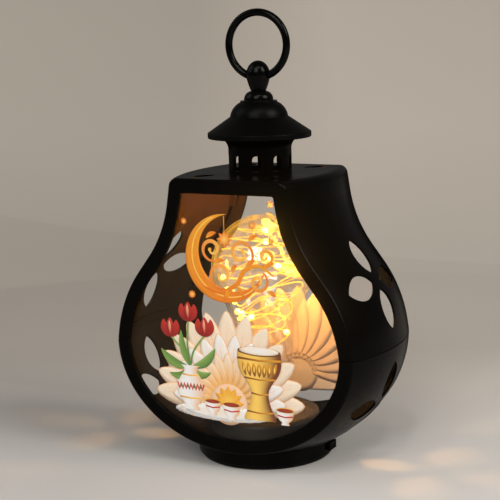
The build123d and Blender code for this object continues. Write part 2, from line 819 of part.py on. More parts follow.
def make_base_plate():
    """Round plate under the foot, with screw bosses, the door's opening and a ledge for its screw."""
    disc = upright(base_radius, 0, foot_lift)
    plate = fillet(disc.edges().sort_by(Axis.Z)[0], base_edge_radius)
    plate += upright(foot_bore - seat_gap, foot_lift, base_top)
    open_x = door_half_length + seat_gap
    open_y = door_half_width + seat_gap
    open_tab = door_tab_width / 2 + seat_gap
    through = (-cut_over, base_top + cut_over)
    plate -= block((-open_x, open_x), (-open_y, open_y), through)
    plate -= block((-door_tab_end - seat_gap, 0), (-open_tab, open_tab), through)
    ledge_low = door_top + seat_gap
    ledge_x = (-door_tab_end - seat_gap - door_ledge_land, -holder_half_length - seat_gap)
    ledge_y = open_tab + door_ledge_land
    plate += block(ledge_x, (-ledge_y, ledge_y), (ledge_low, ledge_low + door_ledge_thickness))
    hole = Cylinder(door_screw_radius + door_screw_slack, (door_screw_bite + door_screw_slack) * 2)
    plate -= Pos(door_screw_x, 0, ledge_low) * hole
    boss = upright(base_boss_radius, base_top, flange_bottom)
    shank_hole = upright(base_screw_radius + slip_gap, -cut_over, flange_bottom + cut_over)
    head_hole = upright(base_screw_head_radius + slip_gap, -cut_over, base_screw_head_height + slip_gap)
    for x, y in screw_places():
        plate += Pos(x, y, 0) * boss
        plate -= Pos(x, y, 0) * (shank_hole + head_hole)
    pin_hole = Cylinder(door_pin_diameter / 2 + pin_gap, (door_half_width + door_pin_length + slip_gap) * 2)
    return plate - Pos(door_axis_x, 0, door_axis_height) * Rot(90, 0, 0) * pin_hole


def make_battery_door():
    """Door with a round hinge edge on two pins, and a tab with a sunk hole for its screw."""
    wide, tab = door_half_width, door_tab_width / 2
    door = block((-door_half_length, door_axis_x), (-wide, wide), (door_recess, door_top))
    door += block((-door_tab_end, 0), (-tab, tab), (door_recess, door_top))
    hinge = Pos(door_axis_x, 0, door_axis_height) * Rot(90, 0, 0)
    door += hinge * Cylinder(door_thickness / 2, door_half_width * 2)
    door += hinge * Cylinder(door_pin_diameter / 2, (door_half_width + door_pin_length) * 2)
    sink = Pos(door_screw_x, 0, door_recess)
    door -= sink * Cylinder(door_screw_radius + slip_gap, door_thickness * 4)
    return door - sink * Cylinder(door_screw_head_radius + slip_gap, (door_screw_head_height + slip_gap) * 2)


def make_door_screw():
    """Captive screw of the door, its head sunk in the door's outer face."""
    seat = door_recess + door_screw_head_height + slip_gap
    tip = door_top + seat_gap + door_screw_bite
    screw = upright(door_screw_radius, seat, tip)
    screw += upright(door_screw_head_radius, seat - door_screw_head_height, seat)
    return Pos(door_screw_x, 0, 0) * screw


def make_base_screws():
    """Four screws up through the base plate and the deck's flange into the floor."""
    seat = base_screw_head_height + slip_gap
    shank = upright(base_screw_radius, seat, floor_level + base_screw_bite)
    screw = shank + upright(base_screw_head_radius, seat - base_screw_head_height, seat)
    return Compound(children=[(Pos(x, y, 0) * screw).solid() for x, y in screw_places()])


def make_battery_holder():
    """Tray that stands on the base plate, open downwards, with its corners inside the deck's drum."""
    out_x, out_y = holder_half_length, holder_half_width
    holder = block((-out_x, out_x), (-out_y, out_y), (base_top, holder_top))
    inner_z = (base_top - cut_over, holder_top - holder_wall)
    holder -= block((-bay_half_length, bay_half_length), (-bay_half_width, bay_half_width), inner_z)
    return holder & upright(deck_bore - seat_gap, 0, deck_top)


def make_battery(row, turned):
    """One cell along X in the given row, with its tip towards +X, or -X when turned."""
    end = cell_length / 2
    cell = upright(cell_diameter / 2, -end, end) + upright(cell_tip_diameter / 2, end, end + cell_tip_length)
    turn = -90 if turned else 90
    return Pos(0, row * cell_pitch, cell_axis_height) * Rot(0, turn, 0) * cell


def make_battery_contacts():
    """A metal plate behind each end of each cell."""
    plates = []
    for row in (-1, 0, 1):
        for side in (1, -1):
            x = side * (bay_half_length - contact_thickness / 2)
            place = Pos(x, row * cell_pitch, cell_axis_height + cell_diameter / 2 - contact_height / 2)
            plates.append(place * Box(contact_thickness, contact_width, contact_height))
    return Compound(children=[plate.solid() for plate in plates])


def switch_window():
    """Slot in the foot skirt that the switch's stem slides along."""
    reach = switch_stem_width / 2 + switch_travel / 2 + seat_gap
    tall = switch_stem_height / 2 + seat_gap
    z = switch_height_center
    return block((switch_face - cut_over, foot_radius + cut_over), (-reach, reach), (z - tall, z + tall))


def make_switch_body():
    """Switch housing that stands on the base plate behind the skirt, with a slot for the stem."""
    half, high = switch_length / 2, base_top + switch_height
    body = block((switch_face - switch_depth, switch_face), (-half, half), (base_top, high))
    reach = switch_stem_width / 2 + switch_travel / 2 + seat_gap
    tall = switch_stem_height / 2 + seat_gap
    z = switch_height_center
    slot_x = (switch_face - switch_stem_grip - seat_gap, switch_face + cut_over)
    return body - block(slot_x, (-reach, reach), (z - tall, z + tall))


def make_switch_knob():
    """Knob outside the skirt on a stem that reaches into the switch, slid to the on side."""
    cap_in = foot_radius + seat_gap
    cap_x = (cap_in, cap_in + switch_knob_depth)
    stem_x = (switch_face - switch_stem_grip, cap_in + switch_knob_depth / 2)

    def bar(x_range, width, height):
        y_range = (switch_travel / 2 - width / 2, switch_travel / 2 + width / 2)
        return block(x_range, y_range, (switch_height_center - height / 2, switch_height_center + height / 2))

    stem = bar(stem_x, switch_stem_width, switch_stem_height)
    cap = bar(cap_x, switch_knob_width, switch_knob_height)
    return stem + fillet(cap.faces().sort_by(Axis.X)[-1].edges(), switch_knob_edge)


def main():
    """Builds every piece and writes each to its own file."""
    pieces = {
        "upper_shell": make_upper_shell(),
        "lower_shell": make_lower_shell(),
        "front_panel": make_panel(-1),
        "back_panel": make_panel(1),
        "chimney": make_chimney(),
        "roof": make_roof(),
        "finial": make_finial(),
        "finial_screw": make_finial_screw(),
        "ring_handle": make_ring(),
        "deck": make_deck(),
        "lamp_socket": make_lamp_socket(),
        "bulb": make_bulb(),
        "light_wire": make_light_wire(),
        "led_beads": make_led_beads(),
        "lamp_leads": make_lamp_leads(),
        "circuit_board": make_circuit_board(),
        "base_plate": make_base_plate(),
        "base_screws": make_base_screws(),
        "battery_door": make_battery_door(),
        "door_screw": make_door_screw(),
        "battery_holder": make_battery_holder(),
        "battery_front": make_battery(-1, False),
        "battery_middle": make_battery(0, True),
        "battery_rear": make_battery(1, False),
        "battery_contacts": make_battery_contacts(),
        "switch_body": make_switch_body(),
        "switch_knob": make_switch_knob(),
    }
    for name, shape in pieces.items():
        export_step(shape, f"parts/{name}.step")
    print("least gap between loops of the wire:", round(wire_clearance(), 3), "mm")


main()
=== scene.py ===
"""Looks of a pear-shaped table lantern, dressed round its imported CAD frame.

Sizes in the classes are millimetres in the frame of the CAD model, with the front towards -Y and +Z up.
Meshes are in metres.
"""

import logging
import math
from dataclasses import dataclass
from enum import Enum
from typing import Any, Sequence

import bmesh
import bpy
import numpy as np
from mathutils import Matrix, Vector


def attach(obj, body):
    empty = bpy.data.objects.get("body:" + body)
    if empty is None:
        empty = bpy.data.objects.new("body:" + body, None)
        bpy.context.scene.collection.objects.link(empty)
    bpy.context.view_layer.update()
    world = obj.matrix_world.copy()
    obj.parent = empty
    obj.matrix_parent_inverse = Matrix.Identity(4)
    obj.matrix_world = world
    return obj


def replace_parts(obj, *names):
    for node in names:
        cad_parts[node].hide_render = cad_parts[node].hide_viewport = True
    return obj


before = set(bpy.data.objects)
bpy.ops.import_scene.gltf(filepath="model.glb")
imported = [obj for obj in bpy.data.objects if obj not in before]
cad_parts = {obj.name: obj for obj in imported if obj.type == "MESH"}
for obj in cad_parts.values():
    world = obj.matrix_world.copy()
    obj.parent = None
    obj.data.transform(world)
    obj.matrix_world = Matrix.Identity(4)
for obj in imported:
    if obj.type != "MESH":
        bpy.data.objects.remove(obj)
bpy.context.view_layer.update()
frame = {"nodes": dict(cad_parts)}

MM = 0.001
TURN = 2.0 * np.pi
LOG = logging.getLogger("lantern")
Colour = tuple[float, float, float]
Place = tuple[float, float, float]
Spot = tuple[float, float]
BLACK: Colour = (0.0, 0.0, 0.0)


class Body(Enum):
    """The bodies of the CAD model that new pieces ride on."""

    LANTERN = "lantern"
    SLIDER = "slider"
    DOOR = "door"


class Side(Enum):
    """The two faces of the lantern that carry a panel."""

    FRONT = -1
    BACK = 1


# Shader tools


class Signal:
    """A shader output that takes part in sums: each operation adds one Math node."""

    def __init__(self, bench: "Bench", socket: bpy.types.NodeSocket) -> None:
        """Keeps the socket and the bench that its node stands on."""
        self.bench, self.socket = bench, socket

    def _math(self, operation: str, first: Any, second: Any = 0.0) -> "Signal":
        """Adds one Math node.

        Args:
            operation: the node's operation.
            first: a signal or number.
            second: a signal or number.

        Returns:
            The node's value.
        """
        return self.bench.signal("ShaderNodeMath", {"operation": operation}, {0: first, 1: second})

    def __add__(self, other: Any) -> "Signal":
        """The sum."""
        return self._math("ADD", self, other)

    __radd__ = __add__

    def __sub__(self, other: Any) -> "Signal":
        """The difference."""
        return self._math("SUBTRACT", self, other)

    def __rsub__(self, other: Any) -> "Signal":
        """The difference, with the number first."""
        return self._math("SUBTRACT", other, self)

    def __mul__(self, other: Any) -> "Signal":
        """The product."""
        return self._math("MULTIPLY", self, other)

    __rmul__ = __mul__

    def __gt__(self, other: Any) -> "Signal":
        """1 where the signal is greater, else 0."""
        return self._math("GREATER_THAN", self, other)

    def __lt__(self, other: Any) -> "Signal":
        """1 where the signal is less, else 0."""
        return self._math("LESS_THAN", self, other)

    def size(self) -> "Signal":
        """The signal without its sign."""
        return self._math("ABSOLUTE", self)

    def clamped(self) -> "Signal":
        """The signal kept between 0 and 1."""
        return self._math("MINIMUM", self._math("MAXIMUM", self, 0.0), 1.0)


class Bench:
    """The node tree of one new material."""

    def __init__(self, name: str) -> None:
        """Makes the material and an empty tree for it."""
        self.material = bpy.data.materials.new(name)
        self.material.use_nodes = True
        self.tree = self.material.node_tree
        self.tree.nodes.clear()

    def node(self, kind: str, settings: dict[str, Any] | None = None,
             links: dict[Any, Any] | None = None) -> bpy.types.Node:
        """Adds any node.

        Args:
            kind: the node's type.
            settings: its properties, set first; "stops" holds a ramp's positions and colours.
            links: a value or a signal for each socket, by name or number.

        Returns:
            The node.
        """
        made = self.tree.nodes.new(kind)
        for name, value in (settings or {}).items():
            if name == "stops":
                ramp = made.color_ramp
                while len(ramp.elements) < len(value):
                    ramp.elements.new(1.0)
                for element, (position, colour) in zip(ramp.elements, value):
                    element.position, element.color = position, (*colour, 1.0)
            else:
                setattr(made, name, value)
        for key, value in (links or {}).items():
            socket = made.inputs[key]
            if isinstance(value, Signal):
                self.tree.links.new(value.socket, socket)
            elif socket.type == "RGBA" and len(value) == 3:
                socket.default_value = (*value, 1.0)
            else:
                socket.default_value = value
        return made

    def signal(self, kind: str, settings: dict[str, Any] | None = None,
               links: dict[Any, Any] | None = None, output: Any = 0) -> Signal:
        """Adds any node and returns one of its outputs.

        Args:
            kind: the node's type.
            settings: its properties.
            links: a value or a signal for each socket.
            output: the name or number of the output.

        Returns:
            That output.
        """
        return Signal(self, self.node(kind, settings, links).outputs[output])

    def place(self) -> Signal:
        """Object coordinates, in metres."""
        return self.signal("ShaderNodeTexCoord", output="Object")

    def axis(self, vector: Signal, name: str) -> Signal:
        """The X, Y or Z part of a vector."""
        return self.signal("ShaderNodeSeparateXYZ", None, {0: vector}, name)

    def vector(self, operation: str, first: Any, second: Any, output: str = "Vector") -> Signal:
        """Joins two vectors.

        Args:
            operation: how they are joined.
            first: a vector.
            second: a vector.
            output: the name of the output.

        Returns:
            The joined vector, or its value.
        """
        return self.signal("ShaderNodeVectorMath", {"operation": operation}, {0: first, 1: second}, output)

    def dot(self, first: Any, second: Any) -> Signal:
        """The dot product of two vectors."""
        return self.vector("DOT_PRODUCT", first, second, "Value")

    def rise(self, place: Signal, low: float, high: float) -> Signal:
        """A value that grows from 0 at a low height to 1 at a high one, both in millimetres."""
        return ((self.axis(place, "Z") - low * MM) * (1.0 / MM / (high - low))).clamped()

    def noise(self, place: Signal, scale: float, detail: float = 2.0) -> Signal:
        """Cloudy noise.

        Args:
            place: the coordinates.
            scale: spots per metre.
            detail: octaves.

        Returns:
            A value round 0.5.
        """
        return self.signal("ShaderNodeTexNoise", None, {"Vector": place, "Scale": scale, "Detail": detail})

    def mix(self, share: Any, first: Any, second: Any) -> Signal:
        """Mixes two colours.

        Args:
            share: 0 for the first, 1 for the second.
            first: a colour.
            second: a colour.

        Returns:
            The mixed colour.
        """
        return self.signal("ShaderNodeMix", {"data_type": "RGBA"}, {0: share, 6: first, 7: second}, 2)

    def cloudy(self, cloud: Signal, tint: Colour, less: float, more: float) -> Signal:
        """A tint that a cloud makes darker and lighter.

        Args:
            cloud: the cloud.
            tint: the colour.
            less: the tint's share where the cloud is 0.
            more: the tint's share where the cloud is 1.

        Returns:
            The uneven colour.
        """
        dark, light = (tuple(channel * share for channel in tint) for share in (less, more))
        return self.mix(cloud, dark, light)

    def bump(self, height: Signal, strength: float, depth: float, links: dict[str, Any]) -> Signal:
        """A normal that follows small heights.

        Args:
            height: the heights.
            strength: how far they are followed.
            depth: their depth in millimetres.
            links: the bump node's further sockets.

        Returns:
            The normal.
        """
        sockets = {"Strength": strength, "Distance": depth * MM, "Height": height}
        return self.signal("ShaderNodeBump", None, sockets | links)

    def shine(self, sockets: dict[str, Any]) -> Signal:
        """A Principled shader with the given sockets."""
        return self.signal("ShaderNodeBsdfPrincipled", None, sockets)

    def finish(self, sockets: dict[str, Any]) -> bpy.types.Material:
        """Joins a Principled shader with the given sockets to the output and returns the material."""
        self.node("ShaderNodeOutputMaterial", None, {"Surface": self.shine(sockets)})
        return self.material


# Finishes


@dataclass(frozen=True)
class MouldedPlastic:
    """Black satin plastic: a fine moulded grain, a cloudy gloss, and edges that catch the light.

    Attributes:
        name: the material's name.
        tint: its colour.
        gloss: its middle roughness.
        grain: how strong the moulded grain is.
        edge: how far edges are softened, in millimetres.
        sheen: its specular level.
        painted_glow_top, painted_glow_base: the colours of painted lamp light on inner walls, amber high up
            and dimmer low down, if it has them.
        painted_glow_centre, painted_glow_depth: the height that inner walls face, and how far from the middle
            they reach.
        painted_glow_facing, painted_glow_frame: how squarely walls and frames face it: normal times distance,
            in metres.
        painted_glow_from, painted_glow_to: heights between which the one colour passes into the other.
        clouds, grains: spots per metre of the cloudy gloss and of the grain.
        grain_depth: the grain's depth in millimetres.
        wear, worn_share, worn_base: how soon edges are worn, and how much lighter they are then.
    """

    name: str
    tint: Colour = (0.0007, 0.0007, 0.0006)
    gloss: float = 0.26
    grain: float = 0.10
    edge: float = 0.35
    sheen: float = 0.07
    painted_glow_top: Colour | None = None
    painted_glow_base: Colour = (0.0135, 0.0115, 0.0085)
    painted_glow_centre: float = 85.0
    painted_glow_depth: float = 38.6
    painted_glow_facing: float = 0.025
    painted_glow_frame: float = 0.033
    painted_glow_from: float = 105.0
    painted_glow_to: float = 150.0
    clouds: float = 42.0
    grains: float = 2400.0
    grain_depth: float = 0.05
    wear: float = 4.0
    worn_share: float = 2.6
    worn_base: float = 0.002

    def inner(self, bench: Bench, place: Signal, true: Signal) -> Signal:
        """Where the skin faces the middle of the lantern: where the painted lamp light goes.

        Args:
            bench: the material's bench.
            place: object coordinates.
            true: the normal.

        Returns:
            1 on inner walls between the panels, where the normal's X and Z run against the way out from the
            centre, and on the frames' inner faces, where its Y does, else 0.
        """
        out = bench.vector("SUBTRACT", place, (0.0, 0.0, self.painted_glow_centre * MM))
        flat = bench.vector("MULTIPLY", out, (1.0, 0.0, 1.0))
        deep = bench.axis(place, "Y")
        walls = (bench.dot(flat, true) * -1.0 > self.painted_glow_facing) * (self.painted_glow_depth * MM > deep.size())
        frames = deep * bench.axis(true, "Y") * -1.0 > self.painted_glow_frame
        return (walls + frames).clamped()

    def material(self) -> bpy.types.Material:
        """Makes the material: edge wear is 1 minus the dot product of the softened and the true normal."""
        bench = Bench(self.name)
        place = bench.place()
        cloud = bench.noise(place, self.clouds, 4.0)
        grain = bench.noise(place, self.grains)
        soft = bench.signal("ShaderNodeBevel", {"samples": 4}, {"Radius": self.edge * MM})
        true = bench.signal("ShaderNodeNewGeometry", output="Normal")
        wear = ((1 - bench.dot(soft, true)) * self.wear * cloud).clamped()
        worn = tuple(channel * self.worn_share + self.worn_base for channel in self.tint)
        tone = bench.cloudy(cloud, self.tint, 0.75, 1.25)
        # painted lamp light: inner walls and the frames' inner faces take an amber colour, brighter high up,
        # for the bulb's light on them
        if self.painted_glow_top:
            painted_glow_rise = bench.rise(place, self.painted_glow_from, self.painted_glow_to)
            bare = bench.mix(painted_glow_rise * (cloud + 0.5), self.painted_glow_base, self.painted_glow_top)
            tone = bench.mix(self.inner(bench, place, true), tone, bare)
        return bench.finish({
            "Base Color": bench.mix(wear, tone, worn),
            "Roughness": self.gloss - 0.07 + cloud * 0.14 + grain * 0.05,
            "Specular IOR Level": self.sheen,
            "Normal": bench.bump(grain, self.grain, self.grain_depth, {"Normal": soft})})


@dataclass(frozen=True)
class ClearSkin:
    """Clear plastic or glass: it mirrors by the Fresnel law, and the rest of the light goes straight through.

    Attributes:
        name: the material's name.
        index: its refractive index.
        haze: how much of it is never see-through.
        tint: the colour of what it mirrors.
        glow: the strength of a painted glow, an emission that stands in for the lights behind it.
        glow_tint: the colour of that glow.
        glow_low, glow_high: heights between which the glow grows.
    """

    name: str
    index: float
    haze: float
    tint: Colour = (0.94, 0.95, 0.96)
    glow: float = 0.0
    glow_tint: Colour = (1.0, 0.50, 0.045)
    glow_low: float = 84.0
    glow_high: float = 116.0

    def material(self) -> bpy.types.Material:
        """Makes the material: alpha is the Fresnel share, the same from both sides, plus a smudged haze.

        The painted glow grows with height, from nothing at its low mark to full at its high mark.
        """
        bench = Bench(self.name)
        place = bench.place()
        smudge = bench.noise(place, 55.0, 3.0)
        inside = bench.signal("ShaderNodeNewGeometry", output="Backfacing")
        bend = self.index + inside * (1.0 / self.index - self.index)
        mirror = bench.signal("ShaderNodeFresnel", None, {"IOR": bend})
        bench.material.surface_render_method = "BLENDED"
        sockets = {"Base Color": self.tint, "Metallic": 1.0, "Roughness": 0.02 + smudge * 0.07,
                   "Alpha": (mirror + self.haze * smudge * 2.0).clamped()}
        # painted glow: amber emission on the glass, brighter higher up, for the light of the lamps behind it
        if self.glow:
            lit = bench.rise(place, self.glow_low, self.glow_high)
            sockets |= {"Emission Color": bench.mix(lit * smudge * 1.6, BLACK, self.glow_tint),
                        "Emission Strength": self.glow}
        return bench.finish(sockets)


@dataclass(frozen=True)
class CopperStrand:
    """Enamelled copper wire with a painted glow: an emission that stands in for the light its own lamps throw
    on it.
    """

    name: str = "copper_strand"
    tint: Colour = (0.95, 0.55, 0.16)
    glow: Colour = (1.0, 0.55, 0.04)
    strength: float = 1.5

    def material(self) -> bpy.types.Material:
        """Makes the material: the painted glow and the gloss change along the wire."""
        bench = Bench(self.name)
        cloud = bench.noise(bench.place(), 70.0)
        # painted glow: the wire's emission stands in for the light of its lamps falling on it
        return bench.finish({
            "Base Color": bench.cloudy(cloud, self.tint, 0.8, 1.0), "Metallic": 0.75,
            "Roughness": 0.22 + cloud * 0.2, "Emission Color": bench.cloudy(cloud, self.glow, 0.45, 1.0),
            "Emission Strength": self.strength})


@dataclass(frozen=True)
class LampDrop:
    """Clear resin drop over a lit chip: yellow in the middle, amber towards its ends."""

    name: str = "lamp_drop"
    tint: Colour = (0.95, 0.85, 0.62)
    amber: Colour = (1.0, 0.45, 0.010)
    yellow: Colour = (1.0, 0.70, 0.045)
    strength: float = 16.0

    def material(self) -> bpy.types.Material:
        """Makes the material: the colour follows the drop's own heat attribute, 1 at its middle."""
        bench = Bench(self.name)
        heat = bench.signal("ShaderNodeAttribute", {"attribute_name": "ink"}, output="Fac")
        return bench.finish({
            "Base Color": self.tint, "Roughness": 0.15 + heat * 0.1,
            "Emission Color": bench.mix(heat, self.amber, self.yellow), "Emission Strength": self.strength})


@dataclass(frozen=True)
class PlatedSteel:
    """Bright zinc-plated steel with fine turning marks."""

    name: str
    dark: Colour = (0.50, 0.50, 0.48)
    light: Colour = (0.68, 0.67, 0.63)

    def material(self) -> bpy.types.Material:
        """Makes the material: cloudy plating over a fine grain."""
        bench = Bench(self.name)
        place = bench.place()
        cloud, grain = bench.noise(place, 160.0, 3.0), bench.noise(place, 3200.0, 1.0)
        return bench.finish({
            "Base Color": bench.mix(cloud, self.dark, self.light), "Metallic": 1.0,
            "Roughness": 0.22 + cloud * 0.2, "Normal": bench.bump(grain, 0.25, 0.03, {})})


@dataclass(frozen=True)
class CellJacket:
    """Printed sleeve of a plain battery cell: dark slate with a copper-coloured band and bare metal ends.

    Attributes:
        name: the material's name.
        tip: 1 if the cell's tip is towards +X, else -1.
        half_length: half the cell's length.
        band_start, tip_start, flat_start: where band and bare ends begin, as shares of that half.
        dark, light, band, bare: the colours of sleeve, band and ends.
    """

    name: str
    tip: int
    half_length: float = 21.65
    band_start: float = 0.42
    tip_start: float = 0.965
    flat_start: float = 0.975
    dark: Colour = (0.018, 0.022, 0.028)
    light: Colour = (0.030, 0.036, 0.045)
    band: Colour = (0.62, 0.27, 0.09)
    bare: Colour = (0.66, 0.66, 0.64)

    def material(self) -> bpy.types.Material:
        """Makes the material: bands are steps of the way along the cell, from its flat end to its tip."""
        bench = Bench(self.name)
        place = bench.place()
        along = bench.axis(place, "X") * (self.tip / MM / self.half_length)
        cloud = bench.noise(place, 90.0)
        band = along > self.band_start
        end = (along > self.tip_start) + (along * -1.0 > self.flat_start)
        sleeve = bench.mix(band, bench.mix(cloud, self.dark, self.light), self.band)
        return bench.finish({
            "Base Color": bench.mix(end.clamped(), sleeve, self.bare),
            "Metallic": (band * 0.7 + end).clamped(), "Roughness": 0.26 + cloud * 0.16})


@dataclass(frozen=True)
class BoardLacquer:
    """Green lacquered circuit board with tinned tracks."""

    name: str = "board_lacquer"
    dark: Colour = (0.004, 0.055, 0.020)
    light: Colour = (0.008, 0.085, 0.034)
    tin: Colour = (0.50, 0.46, 0.38)

    def material(self) -> bpy.types.Material:
        """Makes the material: the tracks are the joints of a brick pattern."""
        bench = Bench(self.name)
        place = bench.place()
        track = bench.signal("ShaderNodeTexBrick", None, {
            "Vector": place, "Scale": 260.0, "Mortar Size": 0.06, "Color1": BLACK, "Color2": BLACK,
            "Mortar": (1.0, 1.0, 1.0)}, "Fac")
        cloud = bench.noise(place, 300.0)
        return bench.finish({
            "Base Color": bench.mix(track, bench.mix(cloud, self.dark, self.light), self.tin),
            "Metallic": track * 0.8, "Roughness": 0.30 + cloud * 0.15})


@dataclass(frozen=True)
class LeadJacket:
    """Soft plastic insulation: the lead towards +X is red and the other one black."""

    name: str = "lead_jacket_skin"
    black: Colour = (0.014, 0.014, 0.014)
    red: Colour = (0.40, 0.015, 0.012)

    def material(self) -> bpy.types.Material:
        """Makes the material: the colour is a step of the X coordinate."""
        bench = Bench(self.name)
        place = bench.place()
        right = bench.axis(place, "X") > 0.0
        return bench.finish({
            "Base Color": bench.mix(right, self.black, self.red),
            "Roughness": 0.42 + bench.noise(place, 400.0) * 0.15})


@dataclass(frozen=True)
class PrintInk:
    """Opaque printing ink: the colours come from the piece, with a faint painted glow in those colours for
    light shining through.
    """

    name: str
    through: float = 0.05

    def material(self) -> bpy.types.Material:
        """Makes the material: the piece's ink colours, with a fine screen and an uneven film."""
        bench = Bench(self.name)
        place = bench.place()
        ink = bench.signal("ShaderNodeVertexColor", {"layer_name": "ink"})
        screen, cloud = bench.noise(place, 900.0), bench.noise(place, 120.0, 3.0)
        tone = bench.signal("ShaderNodeHueSaturation", None, {
            "Value": 0.90 + screen * 0.14 + cloud * 0.06, "Color": ink})
        # painted glow: the ink's own colours as a faint emission, for the bulb's light shining through the
        # print
        return bench.finish({
            "Base Color": tone, "Roughness": 0.40 + cloud * 0.15, "Specular IOR Level": 0.2,
            "Emission Color": tone, "Emission Strength": self.through})


@dataclass(frozen=True)
class InkUnderlay:
    """Pale backing film of the print, which is what shows from inside the lantern."""

    name: str
    tint: Colour = (0.76, 0.64, 0.54)
    show: float = 0.35

    def material(self) -> bpy.types.Material:
        """Makes the material: a soft cloudy film through which the ink's own colours only just show."""
        bench = Bench(self.name)
        ink = bench.signal("ShaderNodeVertexColor", {"layer_name": "ink"})
        cloud = bench.noise(bench.place(), 120.0, 3.0)
        pale, dim = bench.cloudy(cloud, self.tint, 0.85, 1.15), bench.mix(0.5, ink, BLACK)
        return bench.finish({
            "Base Color": bench.mix(self.show, pale, dim), "Roughness": 0.45 + cloud * 0.15,
            "Specular IOR Level": 0.2})


@dataclass(frozen=True)
class StudioPaper:
    """Pale paper under and behind the lantern, with painted light and shade: paler and cooler in front,
    darker and warmer behind, and a painted shadow that dims it towards the left.

    Attributes:
        azimuth: the direction that counts as front, in degrees.
        name: the material's name.
        front, scale: where the ramp begins, in metres from the lantern, and its share of a metre.
        painted_light_tones: the ramp's stops, painted light and shade from front to back.
        painted_shadow_middle, painted_shadow_most: how much a painted shadow dims it straight ahead and, at
        most, on the left.
    """

    azimuth: float
    name: str = "studio_paper"
    front: float = 0.35
    scale: float = 0.4
    painted_light_tones: tuple[tuple[float, Colour], ...] = (
        (0.0, (0.65, 0.63, 0.605)), (0.108, (0.65, 0.62, 0.594)), (0.144, (0.594, 0.567, 0.535)),
        (0.188, (0.54, 0.50, 0.459)), (0.232, (0.475, 0.432, 0.383)), (0.40, (0.50, 0.45, 0.39)),
        (0.62, (0.545, 0.485, 0.42)), (1.0, (0.486, 0.433, 0.374)))
    painted_shadow_middle: float = 0.13
    painted_shadow_most: float = 0.24

    def material(self) -> bpy.types.Material:
        """Makes the material: a ramp of painted light and shade from front to back, dimmed by a painted
        shadow in proportion to the way across.
        """
        bench = Bench(self.name)
        place = bench.place()
        turn = math.radians(self.azimuth)
        away = bench.dot(place, (-math.sin(turn), math.cos(turn), 0.0))
        right = bench.dot(place, (math.cos(turn), math.sin(turn), 0.0))
        cloud = bench.noise(place, 9.0, 3.0)
        along = (away + self.front) * self.scale + (cloud - 0.5) * 0.02
        # painted light and shade: the ramp carries the floor's and backdrop's brightness, paler in front,
        # darker behind the lantern
        tone = bench.signal("ShaderNodeValToRGB", {"stops": self.painted_light_tones}, {0: along})
        # painted shadow: the paper is darker towards the left
        dim = ((self.painted_shadow_middle - right) * (1.0 / self.painted_shadow_most)).clamped() * self.painted_shadow_most
        return bench.finish({"Base Color": bench.mix(dim, tone, BLACK), "Roughness": 0.42 + cloud * 0.12})


# Meshes


def placed(name: str, data: Any) -> bpy.types.Object:
    """Makes an object of its data and links it to the scene."""
    made = bpy.data.objects.new(name, data)
    bpy.context.scene.collection.objects.link(made)
    return made


def quads(rows: int, columns: int, first: int = 0) -> np.ndarray:
    """The quads of a grid of points.

    Args:
        rows: the grid's rows.
        columns: the grid's columns.
        first: the number of its first point.

    Returns:
        The numbers of four points for each quad.
    """
    index = first + np.arange(rows * columns).reshape(rows, columns)
    return np.stack([index[:-1, :-1], index[1:, :-1], index[1:, 1:], index[:-1, 1:]], -1).reshape(-1, 4)


class Surface:
    """Collects grids of points, in millimetres, and makes one piece of them."""

    MERGE = 0.0008
    THIN = 0.0002

    def __init__(self) -> None:
        """Starts with nothing."""
        self.points: list[np.ndarray] = []
        self.faces: list[np.ndarray] = []
        self.inks: list[np.ndarray] = []
        self.count = 0

    def grid(self, points: np.ndarray, ink: np.ndarray | None = None) -> None:
        """Adds a sheet of quads.

        Args:
            points: an array of rows, columns and XYZ; a closed sheet repeats its first row or column.
            ink: a colour at each point, or nothing.
        """
        rows, columns = points.shape[:2]
        self.faces.append(quads(rows, columns, self.count))
        self.points.append(points.reshape(-1, 3))
        colours = np.broadcast_to(0.0 if ink is None else ink, points.shape).reshape(-1, 3)
        self.inks.append(np.concatenate([colours, np.ones((rows * columns, 1))], 1))
        self.count += rows * columns

    def piece(self, name: str, material: bpy.types.Material, body: Body,
              closed: bool = True, sharp: float = 40.0) -> bpy.types.Object:
        """Makes the piece: doubled points are merged, and the faces of closed sheets are turned outwards.

        Args:
            name: the piece's name.
            material: its material.
            body: the body that it rides on.
            closed: whether every sheet is closed.
            sharp: the angle in degrees over which an edge stays sharp.

        Returns:
            The new object, at the origin.
        """
        mesh = bpy.data.meshes.new(name)
        mesh.from_pydata((np.concatenate(self.points) * MM).tolist(), [], np.concatenate(self.faces).tolist())
        layer = mesh.color_attributes.new("ink", "FLOAT_COLOR", "POINT")
        layer.data.foreach_set("color", np.concatenate(self.inks).astype(np.float32).ravel())
        work = bmesh.new()
        work.from_mesh(mesh)
        bmesh.ops.remove_doubles(work, verts=work.verts, dist=self.MERGE * MM)
        bmesh.ops.dissolve_degenerate(work, edges=work.edges, dist=self.THIN * MM)
        if closed:
            bmesh.ops.recalc_face_normals(work, faces=work.faces)
        work.to_mesh(mesh)
        work.free()
        mesh.polygons.foreach_set("use_smooth", np.ones(len(mesh.polygons), bool))
        mesh.set_sharp_from_angle(angle=math.radians(sharp))
        mesh.materials.append(material)
        made = placed(name, mesh)
        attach(made, body.value)
        LOG.info("piece %s: %d faces on %s", name, len(mesh.polygons), body.value)
        return made


def dress(material: bpy.types.Material, *nodes: str) -> None:
    """Gives CAD nodes a material.

    Args:
        material: the material.
        nodes: the names of the nodes.
    """
    for name in nodes:
        for holder in frame["nodes"][name].material_slots:
            holder.material = material
        LOG.info("node %s: %s", name, material.name)


def unit(vectors: np.ndarray) -> np.ndarray:
    """Vectors brought to a length of 1."""
    return vectors / np.maximum(np.linalg.norm(vectors, axis=-1, keepdims=True), 1e-9)


